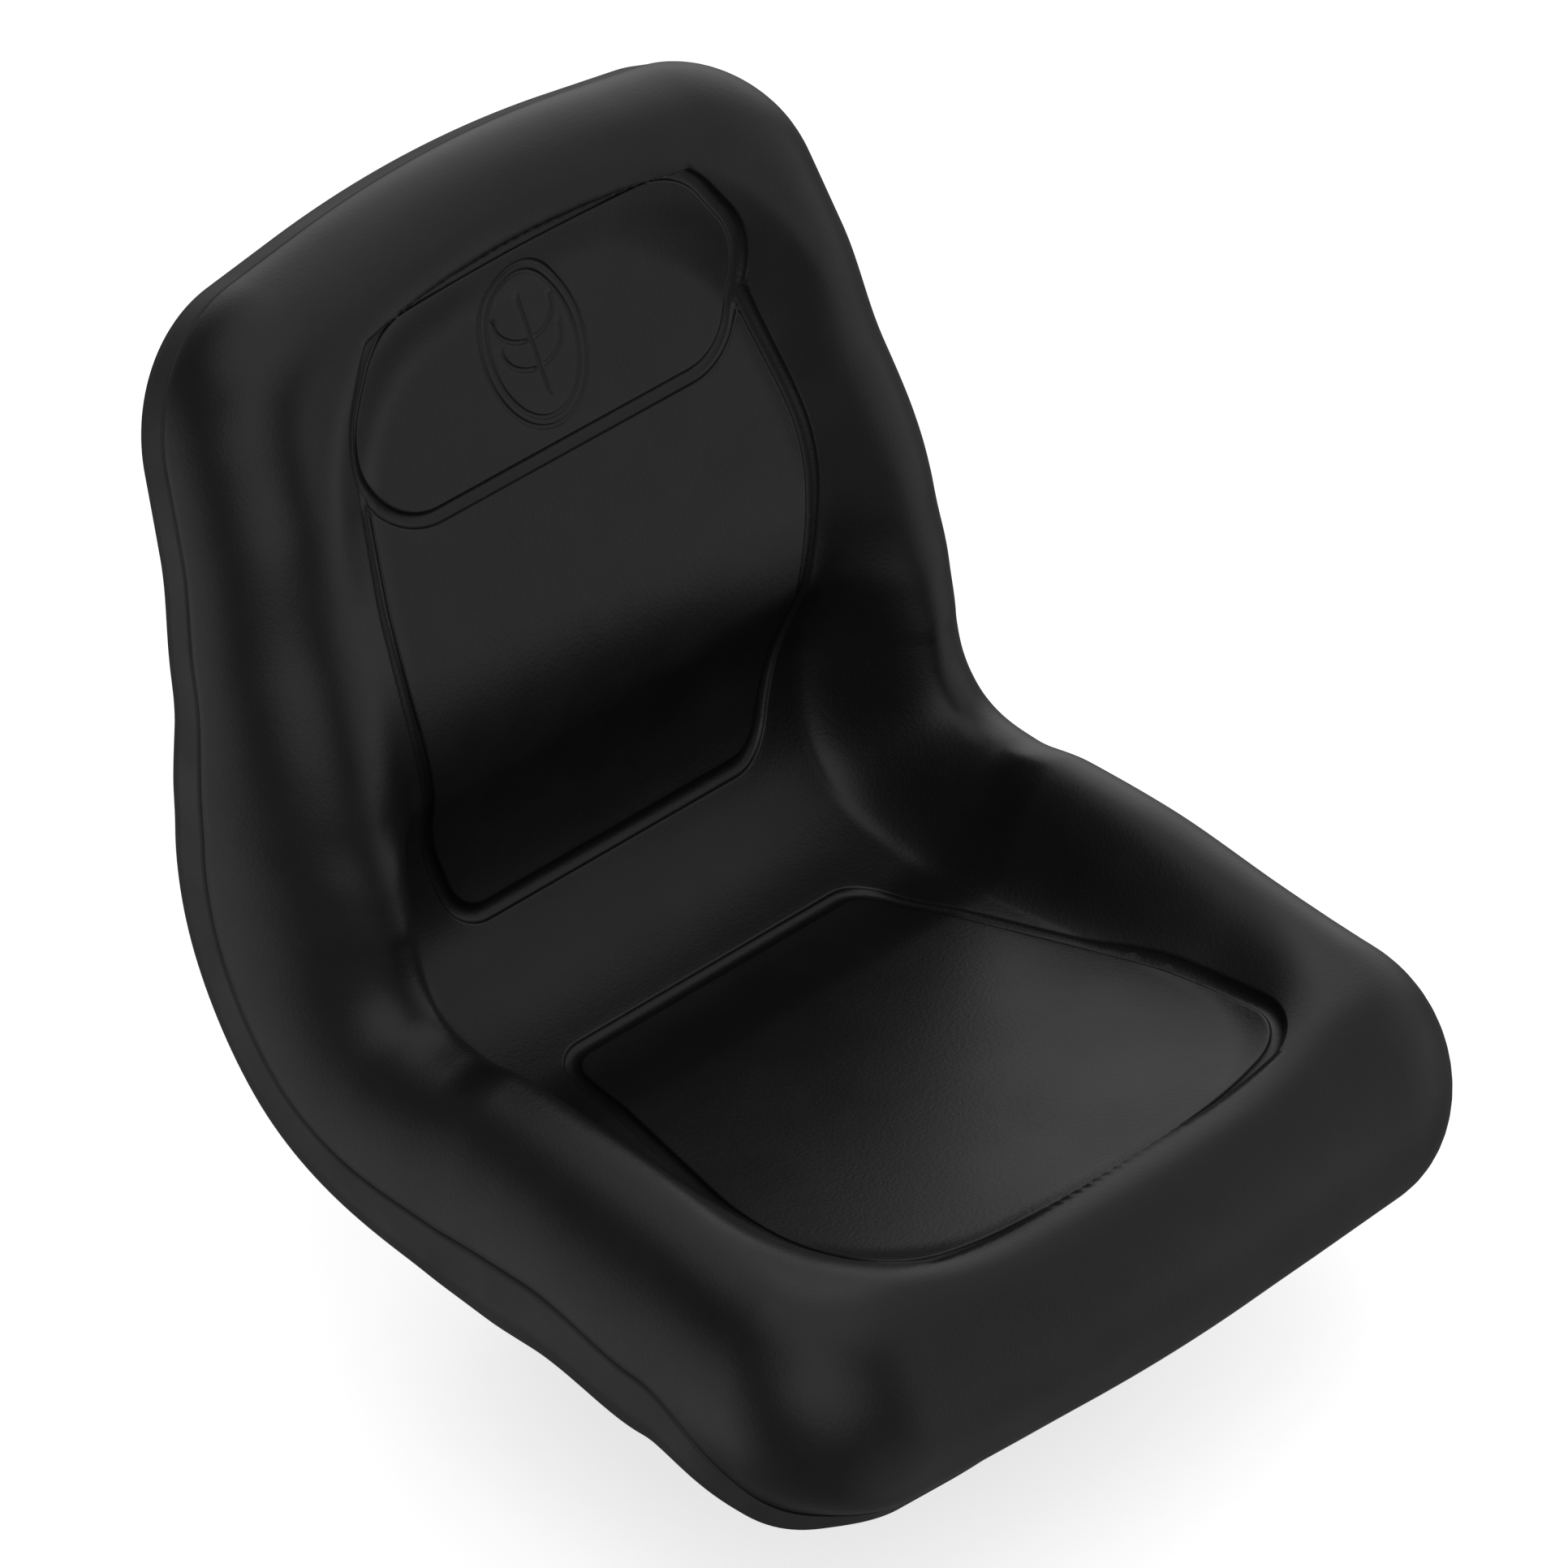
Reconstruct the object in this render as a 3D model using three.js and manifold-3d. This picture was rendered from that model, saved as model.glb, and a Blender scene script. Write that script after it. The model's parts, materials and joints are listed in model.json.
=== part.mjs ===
// High-back bucket seat for a ride-on lawn mower, with the slide rails, adjuster latch, tilt hinge and
// comfort springs that carry it.
// Millimetres. +Z is up, the sitter faces -Y, +X is the sitter's left. The origin lies on the mounting
// face, in the middle of the seat's footprint.
//
// The cushion and the pan are laid out on one bent sheet. A place on the sheet is (x, s), where s runs from
// the front edge, back along the seat, round the corner and up the backrest. h is the height above the
// sheet, towards the sitter.
import * as THREE from 'three';
import { mergeVertices } from 'three/addons/utils/BufferGeometryUtils.js';
import Module from 'manifold-3d';

const { clamp, degToRad, lerp, smoothstep } = THREE.MathUtils;
const wasm = await Module();
wasm.setup();

// ---- driving dimensions -------------------------------------------------------------------------------
const GAP = 0.4; // clearance between pieces that touch
const SEAM = 1.6; // open seam between the cover's edge and the pan's rim
const FOAM_GAP = 0.9; // the foam stands off the cover and the pan by this much
const PAN_LINING_GAP = 2.2;
const POCKET_GAP = 1; // pockets in the foam are this much larger than what they hold
const ORIGIN_SHIFT = 8.1; // moves the seat along Y so that its footprint is centred on the origin

// Side view of the sheet: corners as [y, z, corner radius]
const SHEET_CORNERS = [
  [-285, 199, 0],
  [139, 162.5, 112],
  [113, 359, 190],
  [236, 611, 0],
];
// Right half of the cushion outline on the sheet: corners as [x, s, corner radius]
const OUTLINE_CORNERS = [
  [0, 4, 1100],
  [246, 17, 74],
  [241, 250, 400],
  [236, 420, 500],
  [240, 530, 500],
  [205, 776, 84],
  [0, 804, 700],
];
// Right half of the flat middle that the bolsters rise around
const MIDDLE_CORNERS = [
  [0, 64, 900],
  [146, 72, 80],
  [141, 250, 400],
  [136, 420, 400],
  [140, 520, 400],
  [117, 700, 80],
  [0, 720, 300],
];
const CENTRE_FRONT = 110; // ends of the centre line that the surface is drawn out from
const CENTRE_TOP = 670;

const ROLL = 48; // width of the rounded cushion edge
const FRONT_TUCK = degToRad(65); // how far the front roll carries on under the seat
const TUCK_START = 40;
const TUCK_END = 150;
const BOLSTER_SLOPE = 52; // the bolsters reach their full height this far from the flat middle
const NORMAL_REACH = 24; // the sheet's direction is taken over this much of it, each way

// Heights above the sheet, as [s, height]
const CENTRE_HEIGHT = heightLine([[280, 0], [335, -12], [390, -25], [445, -14], [500, 0]]);
const BOLSTER_RISE = heightLine([
  [0, 6], [90, 20], [230, 50], [300, 58], [390, 64], [450, 56], [520, 23], [600, 13], [670, 22],
  [730, 22], [800, 14],
]);
const WIDEST_HEIGHT = heightLine([
  [0, -54], [60, -46], [150, -40], [230, -19], [300, -15], [390, -38], [450, -46], [530, -53], [610, -47],
  [670, -35], [800, -30],
]);
const PAN_LIP = heightLine([
  [0, 1], [40, 4], [90, 16], [140, 32], [191, 36], [250, 38], [310, 31], [400, 25], [520, 21], [800, 19],
]);
const PAN_LIP_REACH = 1.5; // the foot of the lip stands in from the rim by this much
const PAN_DEPTH = heightLine([[0, -140], [300, -126], [345, -116], [390, -98], [450, -79], [510, -62]]);

const COVER_THICKNESS = 3;
const PAN_THICKNESS = 2.7;
const PAN_FLOOR_Z = 84; // underside of the pan, where the rails bolt on
const PAN_ROUND = 56; // width of the rounded edge under the pan lip
const FLOOR_STEEPEST = 0.35; // where the sheet is steeper than this, the level floor has ended

const COLUMNS = 60; // around the outline
const FIELD_ROWS = 4; // from the centre line to the cushion edge
const ROLL_ROWS = 5; // over the cushion edge
const PAN_ROUND_ROWS = 3;
const PAN_FIELD_ROWS = 3;

// Seat rails
const RAIL_X = 92;
const RAIL_SHEET = 2.2;
const RAIL_FLOOR_Z = 51.3;
const LOWER_RAIL = { width: 34, height: 14, lip: 12, front: -118, rear: 112 };
const UPPER_RAIL = { front: -122, rear: 96, foot: 24, web: 3, inner: 24, outer: 14, sheet: 2.6 };
const RAIL_FOOT = { bottom: 56, top: 58.5 };
const GLIDE = { width: 28.6, length: 26, front: -76, rear: 68 };
const NOTCH = { pitch: 12, count: 8, length: 6.5, z: 56, height: 6 };
const FLANGE_TOP = PAN_FLOOR_Z - GAP;
const FLANGE_UNDERSIDE = FLANGE_TOP - UPPER_RAIL.sheet;

// Fasteners between the rails and the pan
const BOLT = { x: 79, front: -108, rear: 70, shank: 3.9, head: 6.8, headHeight: 5 };
const INSERT = { bore: 4.3, barrel: 7, flange: 11, flangeHeight: 2, top: 97 };

// Tilt hinge and suspension
const HINGE_Y = -135;
const HINGE_Z = 30;
const HINGE_PIN_RADIUS = 4;
const EAR_RADIUS = 13;
const EAR_SHEET = 3;
const BUSH = { bore: 4.25, outer: 6.2, flange: 8.5, flangeThickness: 1 };
const TILT_PLATE = { halfWidth: 93.5, front: -122, rear: 118, bottom: 48, thickness: 3, corner: 10 };
const TILT_HOLE = { x: 40, radius: 15 };
const TILT_EAR = { x: 88, reach: 57, toe: 8, depth: 6 };
const ARM_X = 95.5;
const BRACKET_X = 103;
const ARM_REAR = 112;
const ARM_TOP = 43;
const ARM_DEPTH = 12;
const CROSSBAR = { front: 72, thickness: 3 };
const BASE = { halfWidth: 113, front: -152, rear: 122, thickness: 3, corner: 12 };
const STUD_SLOT = { x: 72, front: -92, rear: 46, halfWidth: 4.5, halfLength: 9, corner: 4.4 };
const LEAD_HOLE_RADIUS = 18;
const CLIP = { radius: 7.5, half: 0.6, gap: 0.3 };

// Comfort springs
const SPRING = { x: 58, y: 92, coil: 16.6, wire: 2.25, turns: 3.5 };
const SPRING_SEAT = { radius: 24, thickness: 2.4, spigot: 13.6, spigotHeight: 6 };
const BUMPER = { y: 30, radius: 7, top: 21.2 };
const REST_PAD_RADIUS = 13;

// Adjuster lever
const LEVER = { x: 122, y: 35, width: 12, thickness: 5, bottom: 71.5, hub: 10, pin: 4, rivet: 2.6 };
const LEVER_CORNERS = [
  [122, 35],
  [122, -60],
  [160, -120],
  [160, -196],
];
const LEVER_BEND = 30;
const GRIP = { width: 19, thickness: 14, length: 78, overhang: 12, corner: 6.5 };
const PAWL = { y: -63, halfTooth: 2.6, halfLength: 9, halfThickness: 4, slack: 0.8 };
const LEVER_TAB = { halfWidth: 14, halfLength: 16, corner: 6, sheet: 2.6 };
const LEVER_SPRING = { inner: 6.2, outer: 8.2 };

// Operator switch
const SWITCH = { y: -5, width: 40, depth: 30, bottom: 87.1, top: 103, neck: 9.6, neckBottom: 77 };
const PLUNGER = { radius: 9, bottom: 109.6, top: 113, stem: 2.8, bore: 3.3, entry: 4 };
const SWITCH_SPRING = { coil: 5.4, wire: 0.45, turns: 3 };
const TERMINAL = { x: 4, halfWidth: 0.4, halfDepth: 3.1, bottom: 69, top: 83.6 };
const DRAIN = { y: 45, bore: 4, hole: 7, flange: 10, bottom: 81.7, top: 89.4 };
const UNDER_PAN = PAN_FLOOR_Z - 4; // tools that cut through the pan's floor run between these
const OVER_PAN = PAN_FLOOR_Z + 8;

// ---- materials ----------------------------------------------------------------------------------------
const MATERIALS = {
  vinyl: new THREE.MeshStandardMaterial({ color: 0x24252a, roughness: 0.52, metalness: 0 }),
  foam: new THREE.MeshStandardMaterial({ color: 0xd8cfa4, roughness: 0.95, metalness: 0 }),
  panPlastic: new THREE.MeshStandardMaterial({ color: 0x18191b, roughness: 0.6, metalness: 0 }),
  blackSteel: new THREE.MeshStandardMaterial({ color: 0x1c1d1f, roughness: 0.45, metalness: 0.6 }),
  zincSteel: new THREE.MeshStandardMaterial({ color: 0xb4b6b2, roughness: 0.35, metalness: 0.9 }),
  springSteel: new THREE.MeshStandardMaterial({ color: 0x55585c, roughness: 0.4, metalness: 0.85 }),
  nylon: new THREE.MeshStandardMaterial({ color: 0xe6e2d4, roughness: 0.5, metalness: 0 }),
  rubber: new THREE.MeshStandardMaterial({ color: 0x161616, roughness: 0.85, metalness: 0 }),
  gripVinyl: new THREE.MeshStandardMaterial({ color: 0x1b1b1c, roughness: 0.55, metalness: 0 }),
  switchBody: new THREE.MeshStandardMaterial({ color: 0x2c2f34, roughness: 0.5, metalness: 0 }),
  brass: new THREE.MeshStandardMaterial({ color: 0xc9a227, roughness: 0.3, metalness: 0.9 }),
};

// ---- curves -------------------------------------------------------------------------------------------
// Smooth line through [position, height] knots that never overshoots them (monotone cubic).
function heightLine(knots) {
  const last = knots.length - 1;
  const chords = knots.slice(1).map(([p, value], i) => (value - knots[i][1]) / (p - knots[i][0]));
  const slopes = knots.map((_, i) => {
    if (i === 0 || i === last) return 0;
    const before = chords[i - 1];
    const after = chords[i];
    return before * after <= 0 ? 0 : (2 * before * after) / (before + after);
  });
  return (position) => {
    const p = clamp(position, knots[0][0], knots[last][0]);
    const i = Math.min(last - 1, Math.max(0, knots.findIndex((knot) => knot[0] >= p) - 1));
    const [p0, v0] = knots[i];
    const [p1, v1] = knots[i + 1];
    const span = p1 - p0;
    const t = (p - p0) / span;
    const share = (1 + 2 * t) * (1 - t) ** 2;
    const bends = t * (1 - t) ** 2 * slopes[i] - t * t * (1 - t) * slopes[i + 1];
    return share * v0 + (1 - share) * v1 + bends * span;
  };
}

// Points of a line whose corners [a, b, radius] are rounded by arcs.
function roundedLine(corners, closed, step) {
  const points = corners.map(([a, b]) => new THREE.Vector2(a, b));
  const count = points.length;
  const line = [];
  points.forEach((corner, i) => {
    const radius = corners[i][2];
    const atEnd = !closed && (i === 0 || i === count - 1);
    if (atEnd || radius === 0) {
      line.push(corner);
      return;
    }
    const toBefore = points[(i + count - 1) % count].clone().sub(corner).normalize();
    const toAfter = points[(i + 1) % count].clone().sub(corner).normalize();
    const half = Math.acos(clamp(toBefore.dot(toAfter), -1, 1)) / 2;
    const bisector = toBefore.clone().add(toAfter).normalize();
    const centre = corner.clone().addScaledVector(bisector, radius / Math.sin(half));
    const start = corner.clone().addScaledVector(toBefore, radius / Math.tan(half)).sub(centre);
    const side = Math.sign(toAfter.cross(toBefore));
    const sweep = side * (Math.PI - 2 * half);
    const pieces = Math.max(2, Math.ceil((Math.abs(sweep) * radius) / step));
    for (let k = 0; k <= pieces; k += 1) {
      line.push(start.clone().rotateAround(new THREE.Vector2(), (sweep * k) / pieces).add(centre));
    }
  });
  return line;
}

// The point, and the unit direction, at a length along a line of points. Past its ends it runs on straight.
function lineRuler(points) {
  const lengths = [0];
  points.slice(1).forEach((point, i) => lengths.push(lengths[i] + point.distanceTo(points[i])));
  const total = lengths[lengths.length - 1];
  const pointAt = (length) => {
    const next = lengths.findIndex((value) => value > length);
    const i = next < 0 ? points.length - 1 : Math.max(1, next);
    const t = (length - lengths[i - 1]) / (lengths[i] - lengths[i - 1]);
    return points[i - 1].clone().lerp(points[i], t);
  };
  const directionAt = (length, reach) => pointAt(length + reach).sub(pointAt(length - reach)).normalize();
  return { total, pointAt, directionAt };
}

// ---- the sheet ----------------------------------------------------------------------------------------
const SHEET = lineRuler(roundedLine(SHEET_CORNERS, false, 3).filter((point, i, all) => {
  return i === 0 || point.distanceTo(all[i - 1]) > 0.01;
}));

function onSheet(x, s, h) {
  const place = SHEET.pointAt(s);
  const along = SHEET.directionAt(s, NORMAL_REACH);
  return new THREE.Vector3(x, place.x - along.y * h + ORIGIN_SHIFT, place.y + along.x * h);
}

// Height, measured along the sheet's normal, at which a level z is met.
function heightOfLevel(s, z) {
  const slope = Math.max(FLOOR_STEEPEST, SHEET.directionAt(s, NORMAL_REACH).x);
  return (z - SHEET.pointAt(s).y) / slope;
}

// ---- the outline --------------------------------------------------------------------------------------
// Both halves of a closed line whose right half starts and ends on the middle.
function mirrored(corners) {
  const left = corners.filter(([x]) => x > 0).reverse().map(([x, s, radius]) => [-x, s, radius]);
  return [...corners, ...left];
}

// The outline as a ring of points that starts and ends where it crosses the middle of the front edge.
function outlineRing() {
  const points = roundedLine(mirrored(OUTLINE_CORNERS), true, 3);
  const after = points.findIndex((point, i) => {
    const before = points[(i + points.length - 1) % points.length];
    return point.y < CENTRE_FRONT && point.x > 0 && before.x <= 0;
  });
  const before = points[(after + points.length - 1) % points.length];
  const middle = before.clone().lerp(points[after], before.x / (before.x - points[after].x));
  return [middle, ...points.slice(after), ...points.slice(0, after), middle.clone()];
}

// Evenly spaced outline points with their inward directions.
function outlineColumns() {
  const ruler = lineRuler(outlineRing());
  const at = (length) => ruler.pointAt((length + ruler.total) % ruler.total);
  return Array.from({ length: COLUMNS }, (_, i) => {
    const length = (i / COLUMNS) * ruler.total;
    const along = at(length + 4).sub(at(length - 4)).normalize();
    return { edge: at(length), inward: new THREE.Vector2(-along.y, along.x) };
  });
}
const OUTLINE = outlineColumns();
const MIDDLE_LINE = roundedLine(mirrored(MIDDLE_CORNERS), true, 8);

function inMiddle(point) {
  const crossings = MIDDLE_LINE.filter((from, i) => {
    const to = MIDDLE_LINE[(i + 1) % MIDDLE_LINE.length];
    if (from.y > point.y === to.y > point.y) return false;
    return point.x < from.x + ((point.y - from.y) / (to.y - from.y)) * (to.x - from.x);
  });
  return crossings.length % 2 === 1;
}

// How far a place lies outside the flat middle.
function distanceFromMiddle(point) {
  if (inMiddle(point)) return 0;
  const closest = new THREE.Vector3();
  const target = new THREE.Vector3(point.x, point.y, 0);
  const segment = new THREE.Line3();
  return MIDDLE_LINE.reduce((best, from, i) => {
    const to = MIDDLE_LINE[(i + 1) % MIDDLE_LINE.length];
    segment.start.set(from.x, from.y, 0);
    segment.end.set(to.x, to.y, 0);
    segment.closestPointToPoint(target, true, closest);
    return Math.min(best, closest.distanceTo(target));
  }, Infinity);
}

// Places between the centre line and a ring that lies inside the outline by `inset`.
function fieldRow(fraction, inset) {
  return OUTLINE.map(({ edge, inward }) => {
    const ring = edge.clone().addScaledVector(inward, inset);
    const centre = new THREE.Vector2(0, clamp(ring.y, CENTRE_FRONT, CENTRE_TOP));
    return centre.lerp(ring, fraction);
  });
}

// ---- cushion and pan surfaces, as rows of points ------------------------------------------------------
function cushionHeight(place) {
  const rise = smoothstep(distanceFromMiddle(place), 0, BOLSTER_SLOPE);
  return CENTRE_HEIGHT(place.y) + BOLSTER_RISE(place.y) * rise;
}

function rollEnd(s) {
  return Math.PI / 2 + FRONT_TUCK * (1 - smoothstep(s, TUCK_START, TUCK_END));
}

// A place on the rounded edge: turn 0 is the top of the roll, turn 1 is the parting line.
function rollPlace({ edge, inward }, turn) {
  const angle = rollEnd(edge.y) * turn;
  const place = edge.clone().addScaledVector(inward, ROLL * (1 - Math.sin(angle)));
  const widest = WIDEST_HEIGHT(place.y);
  const height = widest + (cushionHeight(place) - widest) * Math.cos(angle);
  return { place, height, inset: ROLL * (1 - Math.sin(angle)) };
}

function cushionRows() {
  const rows = [];
  for (let i = 0; i <= FIELD_ROWS; i += 1) {
    const places = fieldRow(i / FIELD_ROWS, ROLL);
    rows.push(places.map((place) => onSheet(place.x, place.y, cushionHeight(place))));
  }
  for (let i = 1; i <= ROLL_ROWS; i += 1) {
    rows.push(OUTLINE.map((column) => {
      const { place, height } = rollPlace(column, i / ROLL_ROWS);
      return onSheet(place.x, place.y, height);
    }));
  }
  return rows;
}

// The pan has a level floor under the seat and follows the sheet from there on.
function panHeight(s) {
  return Math.max(heightOfLevel(s, PAN_FLOOR_Z), PAN_DEPTH(s));
}

// Pan surface from its rim at the parting line, down the lip and in under the seat.
function panRows() {
  const rims = OUTLINE.map((column) => ({ ...column, ...rollPlace(column, 1) }));
  const at = ({ edge, inward, inset }, extra, height) => {
    const place = edge.clone().addScaledVector(inward, inset + extra);
    return onSheet(place.x, place.y, height(place.y));
  };
  const lipBottom = (rim) => rim.height - SEAM - PAN_LIP(rim.place.y);
  const rows = [
    rims.map((rim) => at(rim, GAP, () => rim.height - SEAM)),
    rims.map((rim) => at(rim, PAN_LIP_REACH, () => lipBottom(rim))),
  ];
  for (let i = 1; i <= PAN_ROUND_ROWS; i += 1) {
    const angle = (i / PAN_ROUND_ROWS) * (Math.PI / 2);
    rows.push(rims.map((rim) => {
      const reach = lerp(PAN_LIP_REACH, PAN_ROUND - rim.inset, Math.sin(angle));
      return at(rim, reach, (s) => panHeight(s) + (lipBottom(rim) - panHeight(s)) * Math.cos(angle));
    }));
  }
  for (let i = PAN_FIELD_ROWS - 1; i >= 0; i -= 1) {
    const places = fieldRow(i / PAN_FIELD_ROWS, PAN_ROUND);
    rows.push(places.map((place) => onSheet(place.x, place.y, panHeight(place.y))));
  }
  return rows;
}

// ---- mesh helpers -------------------------------------------------------------------------------------
// Two triangles for each cell between neighbouring rows, as a flat list of points.
function rowCells(rows) {
  const points = [];
  for (let r = 0; r < rows.length - 1; r += 1) {
    for (let c = 0; c < rows[r].length; c += 1) {
      const next = (c + 1) % rows[r].length;
      const [a, b, d, e] = [rows[r][c], rows[r + 1][c], rows[r + 1][next], rows[r][next]];
      points.push(a, b, d, a, d, e);
    }
  }
  return points;
}

function placeKey(point) {
  return `${point.x.toFixed(2)},${point.y.toFixed(2)},${point.z.toFixed(2)}`;
}

// Moves every row point along the surface's own normal.
function offsetRows(rows, distance) {
  const normals = new Map();
  const cells = rowCells(rows);
  for (let i = 0; i < cells.length; i += 3) {
    const [a, b, c] = cells.slice(i, i + 3);
    const normal = b.clone().sub(a).cross(c.clone().sub(a));
    for (const point of [a, b, c]) {
      const key = placeKey(point);
      normals.set(key, (normals.get(key) ?? new THREE.Vector3()).add(normal));
    }
  }
  return rows.map((row) => row.map((point) => {
    const normal = normals.get(placeKey(point)).clone().normalize();
    return point.clone().addScaledVector(normal, distance);
  }));
}

function solidFromPoints(points) {
  return withoutSlivers(mergeVertices(new THREE.BufferGeometry().setFromPoints(points), 1e-3));
}

// Shell of even thickness under a surface. `rim` joins the two faces along the surface's open edge.
function shellSolid(rows, thickness, rim) {
  const lining = offsetRows(rows, -thickness);
  const inside = rowCells(lining);
  for (let i = 0; i < inside.length; i += 3) {
    [inside[i + 1], inside[i + 2]] = [inside[i + 2], inside[i + 1]];
  }
  return solidFromPoints([...rowCells(rows), ...inside, ...rowCells(rim(rows, lining))]);
}

function withoutSlivers(geometry) {
  const index = geometry.getIndex().array;
  const kept = [];
  for (let i = 0; i < index.length; i += 3) {
    const [a, b, c] = index.slice(i, i + 3);
    if (a !== b && b !== c && c !== a) kept.push(a, b, c);
  }
  geometry.setIndex(kept);
  return geometry;
}

function toManifold(source) {
  const bare = source.clone();
  bare.deleteAttribute('normal');
  bare.deleteAttribute('uv');
  const merged = withoutSlivers(mergeVertices(bare, 1e-4));
  const vertProperties = new Float32Array(merged.getAttribute('position').array);
  const triVerts = new Uint32Array(merged.getIndex().array);
  return new wasm.Manifold(new wasm.Mesh({ numProp: 3, vertProperties, triVerts }));
}

function fromManifold(solid) {
  const { vertProperties, triVerts } = solid.getMesh();
  const geometry = new THREE.BufferGeometry();
  geometry.setAttribute('position', new THREE.BufferAttribute(new Float32Array(vertProperties), 3));
  geometry.setIndex(Array.from(triVerts));
  return geometry;
}

function cut(body, tools) {
  return fromManifold(tools.reduce((solid, tool) => solid.subtract(toManifold(tool)), toManifold(body)));
}

function join(pieces) {
  return fromManifold(pieces.map(toManifold).reduce((solid, piece) => solid.add(piece)));
}

function box(x0, x1, y0, y1, z0, z1) {
  const block = new THREE.BoxGeometry(x1 - x0, y1 - y0, z1 - z0);
  return block.translate((x0 + x1) / 2, (y0 + y1) / 2, (z0 + z1) / 2);
}

// Upright cylinder.
function post(x, y, z0, z1, radius, sides = 16) {
  const cylinder = new THREE.CylinderGeometry(radius, radius, z1 - z0, sides);
  return cylinder.rotateX(Math.PI / 2).translate(x, y, (z0 + z1) / 2);
}

// Cylinder along X.
function bar(x0, x1, y, z, radius, sides = 16) {
  const cylinder = new THREE.CylinderGeometry(radius, radius, x1 - x0, sides);
  return cylinder.rotateZ(Math.PI / 2).translate((x0 + x1) / 2, y, z);
}

// Turned piece standing on Z; the profile is [radius, z] points.
function turned(profile, x, y, sides = 16) {
  const points = profile.map(([radius, z]) => new THREE.Vector2(radius, z));
  return new THREE.LatheGeometry(points, sides).rotateX(Math.PI / 2).translate(x, y, 0);
}

// Plan outline pushed up from z0 to z1.
function slab(points, z0, z1) {
  const shape = new THREE.Shape(points.map(([x, y]) => new THREE.Vector2(x, y)));
  return new THREE.ExtrudeGeometry(shape, { depth: z1 - z0, bevelEnabled: false }).translate(0, 0, z0);
}

// Side outline in [y, z], pushed along X from x0 to x1.
function sidePlate(points, x0, x1) {
  const shape = new THREE.Shape(points.map(([y, z]) => new THREE.Vector2(y, z)));
  const plate = new THREE.ExtrudeGeometry(shape, { depth: x1 - x0, bevelEnabled: false });
  return plate.rotateX(Math.PI / 2).rotateZ(Math.PI / 2).translate(x0, 0, 0);
}

// End outline in [x, z], pushed along Y from y0 to y1.
function railSection(points, y0, y1) {
  const shape = new THREE.Shape(points.map(([x, z]) => new THREE.Vector2(x, z)));
  const rail = new THREE.ExtrudeGeometry(shape, { depth: y1 - y0, bevelEnabled: false });
  return rail.rotateX(Math.PI / 2).translate(0, y1, 0);
}

function roundedRectangle(x0, x1, y0, y1, radius) {
  const corners = [[x0, y0, radius], [x1, y0, radius], [x1, y1, radius], [x0, y1, radius]];
  return roundedLine(corners, true, radius / 2).map((point) => [point.x, point.y]);
}

const group = new THREE.Group();

function place(name, geometry, material) {
  const plain = geometry.clone();
  plain.deleteAttribute('uv');
  plain.deleteAttribute('normal');
  const merged = withoutSlivers(mergeVertices(plain, 1e-4));
  merged.computeVertexNormals();
  const mesh = new THREE.Mesh(merged, material);
  mesh.name = name;
  group.add(mesh);
}

const SIDES = [['left', 1], ['right', -1]];

// ---- cushion, foam and pan ----------------------------------------------------------------------------
const insertSpots = SIDES.flatMap(([side, sign]) => [
  { name: `${side}_front`, x: sign * BOLT.x, y: BOLT.front },
  { name: `${side}_rear`, x: sign * BOLT.x, y: BOLT.rear },
]);

function addCover(cushion) {
  const cover = shellSolid(cushion, COVER_THICKNESS, (face, lining) => [face.at(-1), lining.at(-1)]);
  place('seat_cover', cover, MATERIALS.vinyl);
}

function addPan(pan) {
  const shell = shellSolid(pan, PAN_THICKNESS, (face, lining) => [lining[0], face[0]]);
  const hole = (x, y, radius) => post(x, y, UNDER_PAN, OVER_PAN, radius + GAP);
  const holes = insertSpots.map(({ x, y }) => hole(x, y, INSERT.barrel));
  holes.push(hole(0, SWITCH.y, SWITCH.neck));
  holes.push(hole(0, DRAIN.y, DRAIN.hole));
  place('seat_pan', cut(shell, holes), MATERIALS.panPlastic);
}

// The foam block stays clear of the pan's rim, where the cover is tucked in.
function addFoam(cushion, pan) {
  const top = offsetRows(cushion, -COVER_THICKNESS - FOAM_GAP).slice(0, -1);
  const bottom = offsetRows(pan, -PAN_THICKNESS - PAN_LINING_GAP).slice(2);
  const block = solidFromPoints(rowCells([...top, ...bottom]));
  const pocket = (x, y, top, radius) => post(x, y, UNDER_PAN, top + POCKET_GAP, radius + POCKET_GAP);
  const pockets = insertSpots.map(({ x, y }) => pocket(x, y, INSERT.top, INSERT.flange));
  const half = SWITCH.width / 2 + POCKET_GAP;
  const depth = SWITCH.depth / 2 + POCKET_GAP;
  pockets.push(box(-half, half, SWITCH.y - depth, SWITCH.y + depth, UNDER_PAN, SWITCH.top + POCKET_GAP));
  pockets.push(pocket(0, SWITCH.y, PLUNGER.top, PLUNGER.radius));
  pockets.push(pocket(0, DRAIN.y, DRAIN.top, DRAIN.flange));
  place('foam_cushion', cut(block, pockets), MATERIALS.foam);
}

function addDrain() {
  const floor = PAN_FLOOR_Z;
  const lining = PAN_FLOOR_Z + PAN_THICKNESS;
  const profile = [
    [DRAIN.bore, DRAIN.bottom], [DRAIN.flange, DRAIN.bottom], [DRAIN.flange, floor - GAP],
    [DRAIN.hole, floor - GAP], [DRAIN.hole, lining + GAP], [DRAIN.flange, lining + GAP],
    [DRAIN.flange - 1, DRAIN.top], [DRAIN.bore, DRAIN.top], [DRAIN.bore, DRAIN.bottom],
  ];
  place('drain_grommet', turned(profile, 0, DRAIN.y), MATERIALS.rubber);
}

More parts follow.
